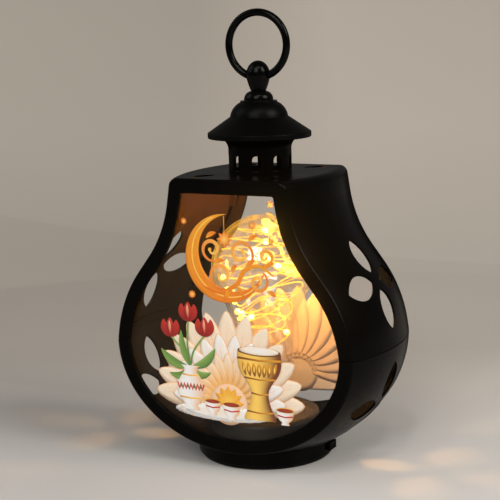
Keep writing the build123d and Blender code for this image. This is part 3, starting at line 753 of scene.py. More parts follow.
def square_to(path: np.ndarray, across: np.ndarray) -> tuple[np.ndarray, np.ndarray]:
    """Two directions square to a path: across less its part along the path, and one square to both.

    Args:
        path: points along the path.
        across: a direction at each point.

    Returns:
        Both directions at each point.
    """
    run = unit(np.gradient(path, axis=0))
    first = unit(across - (across * run).sum(1, keepdims=True) * run)
    return first, np.cross(run, first)


def turned(profile: np.ndarray, sides: int) -> np.ndarray:
    """A profile of radius and height carried round the Z axis.

    Args:
        profile: an array of points, radius and height.
        sides: steps round the axis.

    Returns:
        A grid whose last column repeats the first.
    """
    angle = np.linspace(0.0, TURN, sides + 1)
    radius, height = profile[:, :1], profile[:, 1:]
    return np.stack([radius * np.cos(angle), radius * np.sin(angle), height + 0.0 * angle], -1)


def tube(path: np.ndarray, across: np.ndarray, radius: np.ndarray, sides: int) -> np.ndarray:
    """A round section carried along a path: point + radius (across cos a + second sin a).

    Args:
        path: points along the middle.
        across: a direction at each point, roughly square to the path.
        radius: the section's radius at each point, 0 at a closed end.
        sides: steps round the section.

    Returns:
        A grid whose last column repeats the first.
    """
    first, second = square_to(path, across)
    angle = np.linspace(0.0, TURN, sides + 1)[None, :, None]
    ring = first[:, None] * np.cos(angle) + second[:, None] * np.sin(angle)
    return path[:, None] + radius[:, None, None] * ring


# Prints


class Ink(Enum):
    """The printed colours."""

    GOLD = (0.86, 0.38, 0.025)
    PALE_GOLD = (1.00, 0.64, 0.13)
    ORANGE = (0.82, 0.17, 0.012)
    CREAM = (0.93, 0.80, 0.63)
    PEACH = (0.90, 0.57, 0.35)
    BROWN = (0.20, 0.055, 0.022)
    GREEN = (0.10, 0.23, 0.05)
    PALE_GREEN = (0.27, 0.42, 0.10)
    RED = (0.55, 0.035, 0.022)
    DEEP_RED = (0.26, 0.012, 0.012)
    WHITE = (0.90, 0.90, 0.88)

    def array(self) -> np.ndarray:
        """The colour as an array."""
        return np.array(self.value)


def shades(share: np.ndarray, first: Ink, second: Ink) -> np.ndarray:
    """Colours between two inks.

    Args:
        share: 0 for the first, 1 for the second, at each point.
        first: an ink.
        second: an ink.

    Returns:
        A colour at each point.
    """
    part = np.clip(share, 0.0, 1.0)[..., None]
    return first.array() * (1.0 - part) + second.array() * part


def eased(points: Sequence[Spot], steps: int) -> np.ndarray:
    """A smooth line through points: a Catmull-Rom curve, p(t) from each point's neighbours.

    Args:
        points: the points.
        steps: points to make.

    Returns:
        The line's points.
    """
    known = np.array(points, float)
    known = np.concatenate([2 * known[:1] - known[1:2], known, 2 * known[-1:] - known[-2:-1]])
    t = np.linspace(0.0, len(points) - 1.0, steps)
    i = np.minimum(t.astype(int), len(points) - 2)
    f = (t - i)[:, None]
    a, b, c, d = known[i], known[i + 1], known[i + 2], known[i + 3]
    return b + 0.5 * f * (c - a + f * (2 * a - 5 * b + 4 * c - d + f * (3 * (b - c) + d - a)))


@dataclass
class Print:
    """The printed picture of one panel: flat shapes, each a thin film on top of the last, seen from outside.

    Attributes:
        side: the panel that carries it.
        inner_face: distance of the panel's inner face from the middle.
        film: spacing of the films.
        backing: thickness of each film.
        moon, moon_outer, moon_inner: the crescent's centre and the radii of its two circles.
        moon_shift, moon_tilt: how far the inner circle is set off, and which way, in degrees.
        rosette, rosette_inner, rosette_outer: the half rosette's centre and radii.
        mat, mat_half, mat_flat: the lace mat's centre, half width and flatness.
        vase, drum_foot: the middle of the foot of vase and drum.
    """

    side: Side
    inner_face: float = 39.1
    film: float = 0.003
    backing: float = 0.03
    moon: Spot = (-4.0, 120.5)
    moon_outer: float = 25.0
    moon_inner: float = 21.6
    moon_shift: float = 6.2
    moon_tilt: float = 35.0
    rosette: Spot = (-4.0, 37.0)
    rosette_inner: float = 11.0
    rosette_outer: float = 47.0
    mat: Spot = (-8.5, 31.6)
    mat_half: float = 29.5
    mat_flat: float = 0.16
    vase: Spot = (-28.0, 31.5)
    drum_foot: Spot = (16.0, 30.0)

    # The vine's stem; centre, radius, first angle, turns and hand of its curls; foot and tip of its leaves
    STEM = ((-17.5, 104.0), (-8.0, 101.5), (3.0, 106.5), (8.0, 114.5), (17.0, 117.5), (26.0, 112.5))
    CURLS = ((-6.5, 111.0, 8.0, 285.0, 1.3, -1), (6.0, 124.0, 8.4, 290.0, 1.35, 1),
             (16.5, 108.5, 6.2, 60.0, 1.25, -1), (-12.0, 125.5, 7.0, 300.0, 1.3, -1),
             (21.0, 123.0, 5.2, 245.0, 1.2, 1))
    VINE_LEAVES = (((9.0, 115.5), (15.0, 121.0)), ((2.5, 105.5), (7.0, 99.5)), ((-3.0, 103.0), (-5.5, 97.0)),
                   ((19.5, 116.0), (26.5, 119.5)), ((-11.0, 117.5), (-4.5, 119.5)),
                   ((11.0, 131.0), (16.5, 134.5)), ((0.5, 112.5), (3.5, 117.5)),
                   ((-15.5, 131.5), (-9.0, 135.0)), ((22.0, 103.5), (27.0, 101.0)))
    # The thread of the hanging star; centre and radius of the stars
    THREAD = ((-4.0, 144.5), (-4.0, 140.0), (-4.0, 136.0))
    STARS = ((-4.0, 131.4, 5.0), (13.5, 140.0, 2.6), (24.5, 131.5, 2.2), (-29.5, 140.5, 2.2),
             (-25.5, 99.0, 2.6))
    # Tip, width and bow of the tulips' leaves; top and lean of their stems
    BLADES = (((-47.0, 66.0), 5.4, 3.0), ((-42.0, 52.0), 4.6, 3.4), ((-11.5, 69.0), 5.2, -3.0),
              ((-14.5, 54.5), 4.4, -3.2), ((-33.5, 78.0), 4.4, 1.6))
    BLOOMS = (((-40.5, 74.0), 2.2), ((-28.5, 84.0), -1.2), ((-18.0, 76.0), -2.4))
    # Height and radius of the vessels' outlines
    VASE = ((0.0, 5.4), (1.2, 5.6), (3.0, 4.4), (8.0, 8.0), (13.5, 9.2), (19.0, 6.6), (22.6, 4.1),
            (24.6, 4.4), (26.0, 6.2))
    DRUM = ((0.0, 9.6), (1.4, 9.9), (4.0, 8.8), (10.0, 6.2), (16.0, 5.4), (21.0, 7.4), (27.0, 11.8),
            (32.0, 13.5), (37.0, 13.7), (39.5, 13.4))
    CUP = ((0.0, 2.3), (0.7, 2.5), (1.4, 1.9), (3.4, 4.0), (6.4, 5.0), (8.2, 5.2))
    # Height, half length and width of the drum's bands; foot and size of the cups
    DRUM_BANDS = ((35.2, 13.5, 1.2), (24.2, 9.6, 0.9), (15.6, 5.3, 0.9), (5.0, 8.2, 0.9))
    CUPS = ((-14.0, 29.8, 1.0), (-2.0, 28.2, 1.1), (31.5, 29.0, 1.05))

    def __post_init__(self) -> None:
        """Starts an empty picture."""
        self.shapes: list[tuple[np.ndarray, np.ndarray]] = []

    def ribbon(self, line: np.ndarray, width: np.ndarray | float, first: Ink, second: Ink,
               across: bool = False) -> None:
        """A band along a line: point + normal times width times v, for v from -1/2 to 1/2.

        Args:
            line: points in the picture's plane.
            width: the band's width along it.
            first: the ink at its start, or on its left when across is set.
            second: the ink at its other end or side.
            across: whether the inks change across the band.
        """
        run = unit(np.gradient(line, axis=0))
        normal = np.stack([-run[:, 1], run[:, 0]], -1)
        v = np.linspace(-0.5, 0.5, 5)
        wide = np.broadcast_to(width, (len(line),))
        points = line[:, None] + normal[:, None] * (wide[:, None] * v)[..., None]
        along = np.linspace(0.0, 1.0, len(line))[:, None]
        share = (v[None, :] + 0.5) + 0.0 * along if across else along + 0.0 * v[None, :]
        self.shapes.append((points, shades(share, first, second)))

    def band(self, middle: Spot, half: float, sag: float, width: float, first: Ink, second: Ink) -> None:
        """A ribbon round a vessel, which sags in its middle.

        Args:
            middle: the middle between its ends.
            half: half its length.
            sag: how far it sags.
            width: its width.
            first: the ink at its left.
            second: the ink at its right.
        """
        x, z = middle
        self.ribbon(np.array([[x - half, z], [x, z - sag], [x + half, z]]), width, first, second)

    def leaf(self, start: Spot, end: Spot, width: float, first: Ink, second: Ink, bow: float = 0.0,
             across: bool = False, tip_round: float = 0.8) -> None:
        """A pointed leaf: a ribbon with the width times a power of sin(pi s), bowed by the same sine.

        Args:
            start: its foot.
            end: its tip.
            width: its greatest width.
            first: the ink at its foot.
            second: the ink at its tip.
            bow: how far its middle is bowed to the left.
            across: whether the inks change across it.
            tip_round: the power: the smaller, the rounder its ends.
        """
        s = np.linspace(0.0, 1.0, 25)[:, None]
        a, b = np.array(start), np.array(end)
        normal = np.array([-(b - a)[1], (b - a)[0]]) / np.linalg.norm(b - a)
        line = a + (b - a) * s + normal * bow * np.sin(np.pi * s)
        self.ribbon(line, width * np.sin(np.pi * s[:, 0]) ** tip_round, first, second, across)

    def disc(self, centre: Spot, radius: np.ndarray, first: Ink, second: Ink, flat: float = 1.0) -> None:
        """A filled shape: centre + u r(a) (cos a, flat sin a), for u from 0 to 1.

        Args:
            centre: its middle.
            radius: the radius at each angle, all the way round.
            first: the ink in the middle.
            second: the ink at the rim.
            flat: its height over its width.
        """
        angle = np.linspace(0.0, TURN, len(radius))
        u = np.linspace(0.0, 1.0, 5)[:, None]
        x = centre[0] + u * radius * np.cos(angle)
        z = centre[1] + u * radius * np.sin(angle) * flat
        self.shapes.append((np.stack([x, z], -1), shades(u + 0.0 * angle, first, second)))

    def star(self, centre: Spot, radius: float, points: int, depth: float, first: Ink, second: Ink) -> None:
        """A pointed star: straight edges between tips and notches, in polar form.

        Args:
            centre: its middle.
            radius: the radius of its tips.
            points: how many tips.
            depth: the notches' share of that radius.
            first: the ink in the middle.
            second: the ink at the rim.
        """
        step = np.linspace(0.0, 2.0 * points, points * 8 + 1)
        half, notch = np.pi / points, radius * depth
        a = np.abs((step + 1.0) % 2.0 - 1.0) * half
        edge = radius * notch * np.sin(half) / (notch * np.sin(half - a) + radius * np.sin(a))
        turn = np.linspace(0.0, TURN, len(step)) + np.pi / 2
        u = np.linspace(0.0, 1.0, 4)[:, None]
        x, z = centre[0] + u * edge * np.cos(turn), centre[1] + u * edge * np.sin(turn)
        self.shapes.append((np.stack([x, z], -1), shades(u + 0.0 * turn, first, second)))

    def vessel(self, foot: Spot, profile: Sequence[Spot], light: Ink, dark: Ink) -> None:
        """A turned vessel from the side: foot + (u r(t), h(t)), u from -1 to 1, darker towards its sides.

        Args:
            foot: the middle of its foot.
            profile: height and radius of its outline.
            light: the ink where it is lit.
            dark: the ink at its sides.
        """
        outline = eased(profile, 64)
        u = np.linspace(-1.0, 1.0, 17)
        x = foot[0] + outline[:, 1:] * u
        z = foot[1] + outline[:, :1] + 0.0 * u
        share = np.clip(np.abs(u + 0.35) ** 1.7 * 0.75, 0.0, 1.0) + 0.0 * z
        self.shapes.append((np.stack([x, z], -1), shades(share, light, dark)))

    def crescent(self) -> None:
        """The upper ornament: a thin crescent between two circles, with a leafy vine and stars in its bow."""
        centre, tilt = np.array(self.moon), math.radians(self.moon_tilt)
        big, small, shift = self.moon_outer, self.moon_inner, self.moon_shift
        along = (shift**2 + big**2 - small**2) / (2.0 * shift)
        half = math.sqrt(big**2 - along**2)
        outer_gap, inner_gap = math.atan2(half, along), math.atan2(half, along - shift)
        t = np.linspace(0.0, 1.0, 89)[:, None]
        u = np.linspace(0.0, 1.0, 7)
        middle = centre + shift * np.array([math.cos(tilt), math.sin(tilt)])
        a = tilt + outer_gap + t * (TURN - 2.0 * outer_gap)
        b = tilt + inner_gap + t * (TURN - 2.0 * inner_gap)
        x = (centre[0] + big * np.cos(a)) * (1.0 - u) + (middle[0] + small * np.cos(b)) * u
        z = (centre[1] + big * np.sin(a)) * (1.0 - u) + (middle[1] + small * np.sin(b)) * u
        self.shapes.append((np.stack([x, z], -1), shades(t + 0.0 * u, Ink.GOLD, Ink.ORANGE)))
        self.ribbon(np.stack([x[8:-8, 3], z[8:-8, 3]], -1), 0.6, Ink.PALE_GOLD, Ink.PALE_GOLD)
        s = np.linspace(0.0, 1.0, 90)
        self.ribbon(eased(self.STEM, 90), 0.7 + 2.0 * np.sin(np.pi * s) ** 0.7, Ink.ORANGE, Ink.GOLD)
        s = np.linspace(0.0, 1.0, 70)
        swell = 0.5 + 1.7 * np.sin(np.pi * np.clip(s * 0.9 + 0.08, 0, 1))
        for x0, z0, radius, start, turns, hand in self.CURLS:
            angle = np.radians(start) + hand * turns * TURN * s
            reach = radius * (1.0 - 0.80 * s)
            line = np.stack([x0 + reach * np.cos(angle), z0 + reach * np.sin(angle)], -1)
            self.ribbon(line, swell, Ink.ORANGE, Ink.PALE_GOLD)
            self.disc(tuple(line[-1]), np.full(17, 1.1), Ink.PALE_GOLD, Ink.GOLD)
        for foot, tip in self.VINE_LEAVES:
            self.leaf(foot, tip, 2.7, Ink.GOLD, Ink.ORANGE, 0.8)
        self.ribbon(np.array(self.THREAD), 0.4, Ink.GOLD, Ink.GOLD)
        for x0, z0, radius in self.STARS:
            self.star((x0, z0), radius, 8, 0.62, Ink.PALE_GOLD, Ink.ORANGE)

    def fan(self) -> None:
        """The pale ground of the lower picture: a half rosette of three rows of petals round a small sun."""
        centre, inner, outer = np.array(self.rosette), self.rosette_inner, self.rosette_outer
        rows = ((inner, outer, 13, 13.0, Ink.PEACH, Ink.CREAM),
                (inner - 2.0, outer * 0.76, 12, 10.0, Ink.PEACH, Ink.WHITE),
                (inner - 3.0, outer * 0.55, 13, 6.6, Ink.GOLD, Ink.CREAM))
        for low, reach, count, width, base, crest in rows:
            for angle in np.linspace(math.radians(5.0), math.radians(175.0), count):
                out = np.array([math.cos(angle), math.sin(angle)])
                foot, tip = centre + low * out, centre + reach * (1.0 + 0.14 * math.sin(angle) ** 2) * out
                rim = tuple(tip + 0.7 * out)
                self.leaf(tuple(foot), rim, width + 1.1, Ink.GOLD, Ink.PEACH, tip_round=0.62)
                self.leaf(tuple(foot), tuple(tip), width, base, crest, tip_round=0.62)
                vein = eased([tuple(foot + (tip - foot) * share) for share in (0.30, 0.55, 0.80)], 10)
                self.ribbon(vein, np.linspace(0.55, 0.15, 10), Ink.GOLD, Ink.PEACH)
        self.disc(self.rosette, np.full(49, inner + 1.0), Ink.CREAM, Ink.PEACH)
        self.star((centre[0], centre[1] + 1.0), inner - 1.0, 12, 0.7, Ink.PALE_GOLD, Ink.GOLD)

    def cloth(self) -> None:
        """The white base: a scalloped lace mat with a row of eyelets."""
        angle = np.linspace(0.0, TURN, 289)
        (x, z), wide, flat = self.mat, self.mat_half, self.mat_flat
        scallop = wide * (1.0 + 0.025 * np.abs(np.sin(12.0 * angle)))
        self.disc((x, z), scallop, Ink.WHITE, Ink.WHITE, flat)
        self.disc((x, z + 0.2), np.full(73, wide - 5.5), Ink.CREAM, Ink.WHITE, flat)
        for turn in np.radians(15.0 * np.arange(24)):
            eye = (x + (wide - 2.6) * math.cos(turn), z + (wide - 2.6) * flat * math.sin(turn))
            self.disc(eye, np.full(13, 0.7), Ink.PEACH, Ink.PEACH, 0.7)

    def tulips(self) -> None:
        """Red tulips and green leaves in a painted vase, on the left."""
        x0, z0 = self.vase
        mouth = (x0, z0 + 25.0)
        for tip, width, bow in self.BLADES:
            self.leaf(mouth, tip, width, Ink.GREEN, Ink.PALE_GREEN, bow, True)
        for (x, z), lean in self.BLOOMS:
            bend = ((x0 + x) / 2 + lean, (mouth[1] + z) / 2)
            self.ribbon(eased([mouth, bend, (x, z)], 24), 1.1, Ink.GREEN, Ink.PALE_GREEN)
            self.leaf((x, z - 1.0), (x - 4.0, z + 9.5), 5.0, Ink.DEEP_RED, Ink.RED, 1.6)
            self.leaf((x, z - 1.0), (x + 4.0, z + 9.5), 5.0, Ink.DEEP_RED, Ink.RED, -1.6)
            self.leaf((x, z - 1.0), (x, z + 10.5), 5.6, Ink.DEEP_RED, Ink.RED)
            self.leaf((x, z + 1.0), (x - 0.4, z + 9.0), 1.6, Ink.RED, Ink.PEACH)
        self.vessel(self.vase, self.VASE, Ink.WHITE, Ink.PEACH)
        for height, half in ((20.6, 5.3), (7.2, 7.2)):
            self.band((x0, z0 + height), half, 0.5, 0.9, Ink.GOLD, Ink.PALE_GOLD)
        zig = np.linspace(-1.0, 1.0, 33)
        wave = z0 + 13.6 + 1.9 * (2.0 * np.abs((zig * 4.0) % 1.0 - 0.5) - 0.5) * 2.0
        self.ribbon(np.stack([x0 + zig * 8.5, wave], -1), 0.9, Ink.RED, Ink.RED)
        for step in (-0.72, -0.24, 0.24, 0.72):
            self.disc((x0 + step * 8.6, z0 + 13.6), np.full(13, 0.8), Ink.GREEN, Ink.GREEN)

    def drum(self) -> None:
        """A golden goblet drum on the right, with its pale head and engraved bands."""
        x, z = self.drum_foot
        self.vessel((x, z), self.DRUM, Ink.PALE_GOLD, Ink.BROWN)
        self.disc((x, z + 39.5), np.full(49, 13.4), Ink.GOLD, Ink.BROWN, 0.20)
        self.disc((x, z + 39.8), np.full(49, 12.2), Ink.WHITE, Ink.CREAM, 0.19)
        for height, half, width in self.DRUM_BANDS:
            self.band((x, z + height), half, 0.8, width, Ink.BROWN, Ink.GOLD)
        for step in np.linspace(-0.82, 0.82, 7):
            sag = 0.8 * (1.0 - step**2)
            foot, tip = (x + step * 10.2, z + 25.6 - sag), (x + step * 13.0, z + 33.8 - sag)
            self.leaf(foot, tip, 2.9 * math.sqrt(1.0 - 0.6 * step**2), Ink.BROWN, Ink.GOLD)
            core = (foot[0] + tip[0]) / 2
            self.leaf((core, foot[1] + 2.4), (core, tip[1] - 2.0), 1.0, Ink.PALE_GOLD, Ink.PALE_GOLD)

    def cups(self) -> None:
        """Three small cups of tea in front."""
        for x, z, size in self.CUPS:
            self.vessel((x, z), [(h * size, r * size) for h, r in self.CUP], Ink.WHITE, Ink.PEACH)
            self.disc((x, z + 8.2 * size), np.full(41, 5.3 * size), Ink.PALE_GOLD, Ink.GOLD, 0.26)
            self.disc((x, z + 8.1 * size), np.full(41, 4.5 * size), Ink.RED, Ink.BROWN, 0.24)
            self.band((x, z + 5.2 * size), 4.5 * size, 0.8 * size, 0.8, Ink.RED, Ink.RED)

    def build(self) -> bpy.types.Object:
        """Draws the picture and makes one piece of it, its first shapes furthest from the panel.

        Returns:
            The piece, with its films given a thickness.
        """
        for draw in (self.crescent, self.fan, self.cloth, self.tulips, self.drum, self.cups):
            draw()
        sheet = Surface()
        hand = self.side.value
        for layer, (points, ink) in enumerate(self.shapes):
            depth = self.inner_face - self.film * (len(self.shapes) - layer + 2)
            x, z = points[..., 0] * -hand, points[..., 1]
            flat = np.stack([x, np.full_like(x, hand * depth), z], -1)
            normal = np.cross(np.diff(flat, axis=0)[:, :-1], np.diff(flat, axis=1)[:-1]).sum((0, 1))
            if normal[1] * hand < 0:
                flat, ink = flat[:, ::-1], ink[:, ::-1]
            sheet.grid(flat, ink)
        name = f"{self.side.name.lower()}_print"
        skin = PrintInk(f"{name}_ink").material()
        made = sheet.piece(name, skin, Body.LANTERN, closed=False)
        made.data.materials.append(InkUnderlay(f"{name}_underlay").material())
        wall = made.modifiers.new("film", "SOLIDIFY")
        wall.thickness, wall.offset, wall.material_offset = self.backing * MM, -1.0, 1
        return made


# Sub-assemblies


@dataclass
class Shells:
    """The pear-shaped body in two halves."""

    # painted lamp light: the amber colour given to the inner walls and the frames' inner faces
    plastic: MouldedPlastic = MouldedPlastic("body_plastic", sheen=0.045, painted_glow_top=(0.050, 0.0210, 0.0015))

    def dress(self) -> None:
        """Dresses the two shells."""
        dress(self.plastic.material(), "upper_shell", "lower_shell")


@dataclass
class Windows:
    """The clear panels and their printed pictures."""

    sheet: ClearSkin = ClearSkin("clear_sheet_skin", index=1.16, haze=0.002)

    def dress(self) -> None:
        """Dresses the panels."""
        dress(self.sheet.material(), "front_panel", "back_panel")

    def build(self) -> None:
        """Prints a picture on the inner face of each panel."""
        for side in Side:
            Print(side).build()


@dataclass
class Lamp:
    """The bulb, its socket, and the wire of lights wound inside it.

    Attributes:
        glass, socket: the finishes of bulb and socket.
        bulb_radius, bulb_center, bulb_wall, neck_radius, neck_top: the bulb's outline.
        foot, rise, pull: where the wire leaves the socket, and how hard its ends draw it up and round.
        loops, low, high, lean, drift, draw, gap: the winding, as in the CAD source.
        strand, spread, twist: radius, offset and length of one turn of the two strands.
        places: the lights' places along the winding, as shares of it.
        bead_radius, bead_length, bead_full: the lights' size, and the power that rounds them.
    """

    glass: ClearSkin = ClearSkin("bulb_glass", index=1.45, haze=0.05, tint=(0.96, 0.95, 0.93), glow=0.6)
    socket: MouldedPlastic = MouldedPlastic("socket_plastic", tint=(0.0026, 0.0025, 0.0024), gloss=0.34)
    bulb_radius: float = 29.8
    bulb_center: float = 110.0
    bulb_wall: float = 1.4
    neck_radius: float = 17.0
    neck_top: float = 64.0
    foot: float = 50.5
    rise: float = 22.0
    pull: float = 24.0
    loops: int = 11
    low: float = 68.28
    high: float = 132.946
    lean: float = 7.5
    drift: float = 0.625
    draw: float = 2.0
    gap: float = 2.0
    strand: float = 0.16
    spread: float = 0.29
    twist: float = 9.0
    places: tuple[float, ...] = (0.011, 0.129, 0.227, 0.323, 0.417, 0.509, 0.598, 0.660, 0.755, 0.846, 0.937)
    bead_radius: float = 1.5
    bead_length: float = 4.4
    bead_full: float = 0.75

    def half_width(self, z: np.ndarray, shrink: float) -> np.ndarray:
        """The bulb's radius: a globe, and below it a cove tangent to the globe and the neck.

        Args:
            z: heights.
            shrink: how far the outline is drawn in.

        Returns:
            The radius at each height.
        """
        globe, neck = self.bulb_radius - shrink, self.neck_radius - shrink
        rise = self.bulb_center - self.neck_top
        cove = (neck**2 + rise**2 - globe**2) / (2.0 * (globe - neck))
        meet = self.bulb_center - rise * globe / (globe + cove)
        ball = np.sqrt(np.maximum(globe**2 - (z - self.bulb_center) ** 2, 0.0))
        flank = neck + cove - np.sqrt(np.maximum(cove**2 - np.maximum(z - self.neck_top, 0.0) ** 2, 0.0))
        return np.where(z > meet, ball, flank)

    def winding(self, turns: np.ndarray) -> np.ndarray:
        """Points of the winding: a rising, leaning coil on the bulb's outline, with small bends of its own.

        Args:
            turns: how many turns along it.

        Returns:
            A point for each.
        """
        share = turns / self.loops
        angle = TURN * turns
        hump = 4.0 * share * (1.0 - share)
        lean = self.lean * np.sin(angle + TURN * self.drift * share) * hump
        bend = hump * (1.7 * np.sin(2.37 * angle + 1.0) + 1.1 * np.sin(3.71 * angle))
        z = self.low + (self.high - self.low) * share + lean + bend
        radius = self.half_width(z, self.bulb_wall + self.gap)
        radius = radius - self.draw * (1.0 - np.cos(np.pi * turns)) / 2.0
        radius = radius - hump * (0.8 + 0.8 * np.sin(1.83 * angle + 0.6))
        return np.stack([radius * np.cos(angle), radius * np.sin(angle), z], -1)

    @staticmethod
    def outward(turns: np.ndarray) -> np.ndarray:
        """The level direction out from the middle, at each place of the winding."""
        return np.stack([np.cos(TURN * turns), np.sin(TURN * turns), 0.0 * turns], -1)

    def path(self) -> tuple[np.ndarray, np.ndarray]:
        """The whole wire: a smooth rise from the socket (a cubic with set ends), then the winding.

        Returns:
            Points along it, and an outward direction at each.
        """
        turns = np.linspace(0.0, self.loops, self.loops * 220 + 1)
        coil = self.winding(turns)
        run = self.pull * unit(np.diff(self.winding(np.array([0.0, 1e-4])), axis=0)[0])
        s = np.linspace(0.0, 1.0, 90)[:-1, None]
        start, rise = np.array([0.0, 0.0, self.foot]), np.array([0.0, 0.0, self.rise])
        lead = ((2 * s**3 - 3 * s**2 + 1) * start + (s**3 - 2 * s**2 + s) * rise
                + (3 * s**2 - 2 * s**3) * coil[0] + (s**3 - s**2) * run)
        return np.concatenate([lead, coil]), self.outward(np.concatenate([np.zeros(len(lead)), turns]))

    def build_wire(self) -> bpy.types.Object:
        """Two fine strands twisted round the path: path + spread (out cos a + side sin a), a with length."""
        path, out = self.path()
        out, side = square_to(path, out)
        length = np.concatenate([[0.0], np.cumsum(np.linalg.norm(np.diff(path, axis=0), axis=1))])
        thick = np.full(len(path), self.strand)
        thick[[0, -1]] = 0.0
        wire = Surface()
        for phase in (0.0, np.pi):
            angle = (TURN * length / self.twist + phase)[:, None]
            offset = self.spread * (out * np.cos(angle) + side * np.sin(angle))
            wire.grid(tube(path + offset, out, thick, 6))
        made = wire.piece("fairy_wire", CopperStrand().material(), Body.LANTERN, sharp=120.0)
        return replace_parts(made, "light_wire")

    def build_beads(self) -> bpy.types.Object:
        """Drops on the wire: a round section carried along it, fuller in its middle (a power of a sine)."""
        drops = Surface()
        arc = np.linspace(0.0, np.pi, 15)
        thick = self.bead_radius * np.sin(arc) ** self.bead_full
        heat = np.sin(arc)[:, None, None]
        for turns in np.array(self.places) * self.loops:
            ahead, here, behind = self.winding(np.array([turns + 1e-3, turns, turns - 1e-3]))
            path = here - unit(ahead - behind) * (self.bead_length / 2.0) * np.cos(arc)[:, None]
            drops.grid(tube(path, self.outward(np.full(len(arc), turns)), thick, 16), heat)
        made = drops.piece("fairy_lights", LampDrop().material(), Body.LANTERN, sharp=180.0)
        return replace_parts(made, "led_beads")

    def dress(self) -> None:
        """Dresses the bulb, the socket and the leads."""
        dress(self.glass.material(), "bulb")
        dress(self.socket.material(), "lamp_socket")
        dress(LeadJacket().material(), "lamp_leads")


@dataclass
class Crown:
    """Chimney, roof, finial and the carrying ring.

    Attributes:
        neck, satin, polished: the chimney's finish, the roof's, and that of finial and ring.
        screw: the finish of the finial's screw.
    """

    neck: MouldedPlastic = MouldedPlastic("chimney_plastic", gloss=0.30, sheen=0.03)
    satin: MouldedPlastic = MouldedPlastic("roof_plastic", gloss=0.36, sheen=0.05)
    polished: MouldedPlastic = MouldedPlastic("crown_plastic", gloss=0.17, grain=0.05)
    screw: PlatedSteel = PlatedSteel("roof_screw_steel")

    def dress(self) -> None:
        """Dresses the crown."""
        dress(self.neck.material(), "chimney")
        dress(self.satin.material(), "roof")
        dress(self.polished.material(), "finial", "ring_handle")
        dress(self.screw.material(), "finial_screw")


@dataclass(frozen=True)
class CrossScrew:
    """A pan-head screw with a cross recess, its head downwards.

    Attributes:
        head, seat, low: the head's radius, and the heights of its seat and its face.
        shank, tip: the shank's radius and the height of its end.
        crown: how far the face falls back at its rim.
        recess, slot, reach: depth, width and half length of the cross.
        slot_edge, reach_edge: how wide the slopes of its sides and ends are.
    """

    head: float
    seat: float
    low: float
    shank: float
    tip: float
    crown: float = 0.22
    recess: float = 0.75
    slot: float = 0.55
    reach: float = 1.35
    slot_edge: float = 0.12
    reach_edge: float = 0.25

    def grid(self, x: float, y: float) -> np.ndarray:
        """The turned outline from the middle of the face to the tip; the face sinks where the cross is.

        Args:
            x: the screw's place.
            y: the screw's place.

        Returns:
            The grid of its skin.
        """
        face = np.linspace(0.0, self.head, 33)
        dome = self.low + self.crown * (face / self.head) ** 4
        rest = [(self.head, self.seat), (self.shank, self.seat), (self.shank, self.tip - self.shank),
                (0.0, self.tip)]
        skin = turned(np.concatenate([np.stack([face, dome], -1), np.array(rest)]), 64)
        off = np.abs(skin[..., :2])
        sides = np.clip((self.slot / 2.0 - off.min(-1)) / self.slot_edge + 0.5, 0.0, 1.0)
        ends = np.clip((self.reach - off.max(-1)) / self.reach_edge, 0.0, 1.0)
        cross = sides * ends
        cross[len(face):] = 0.0
        skin[..., 2] += cross * self.recess
        return skin + np.array([x, y, 0.0])


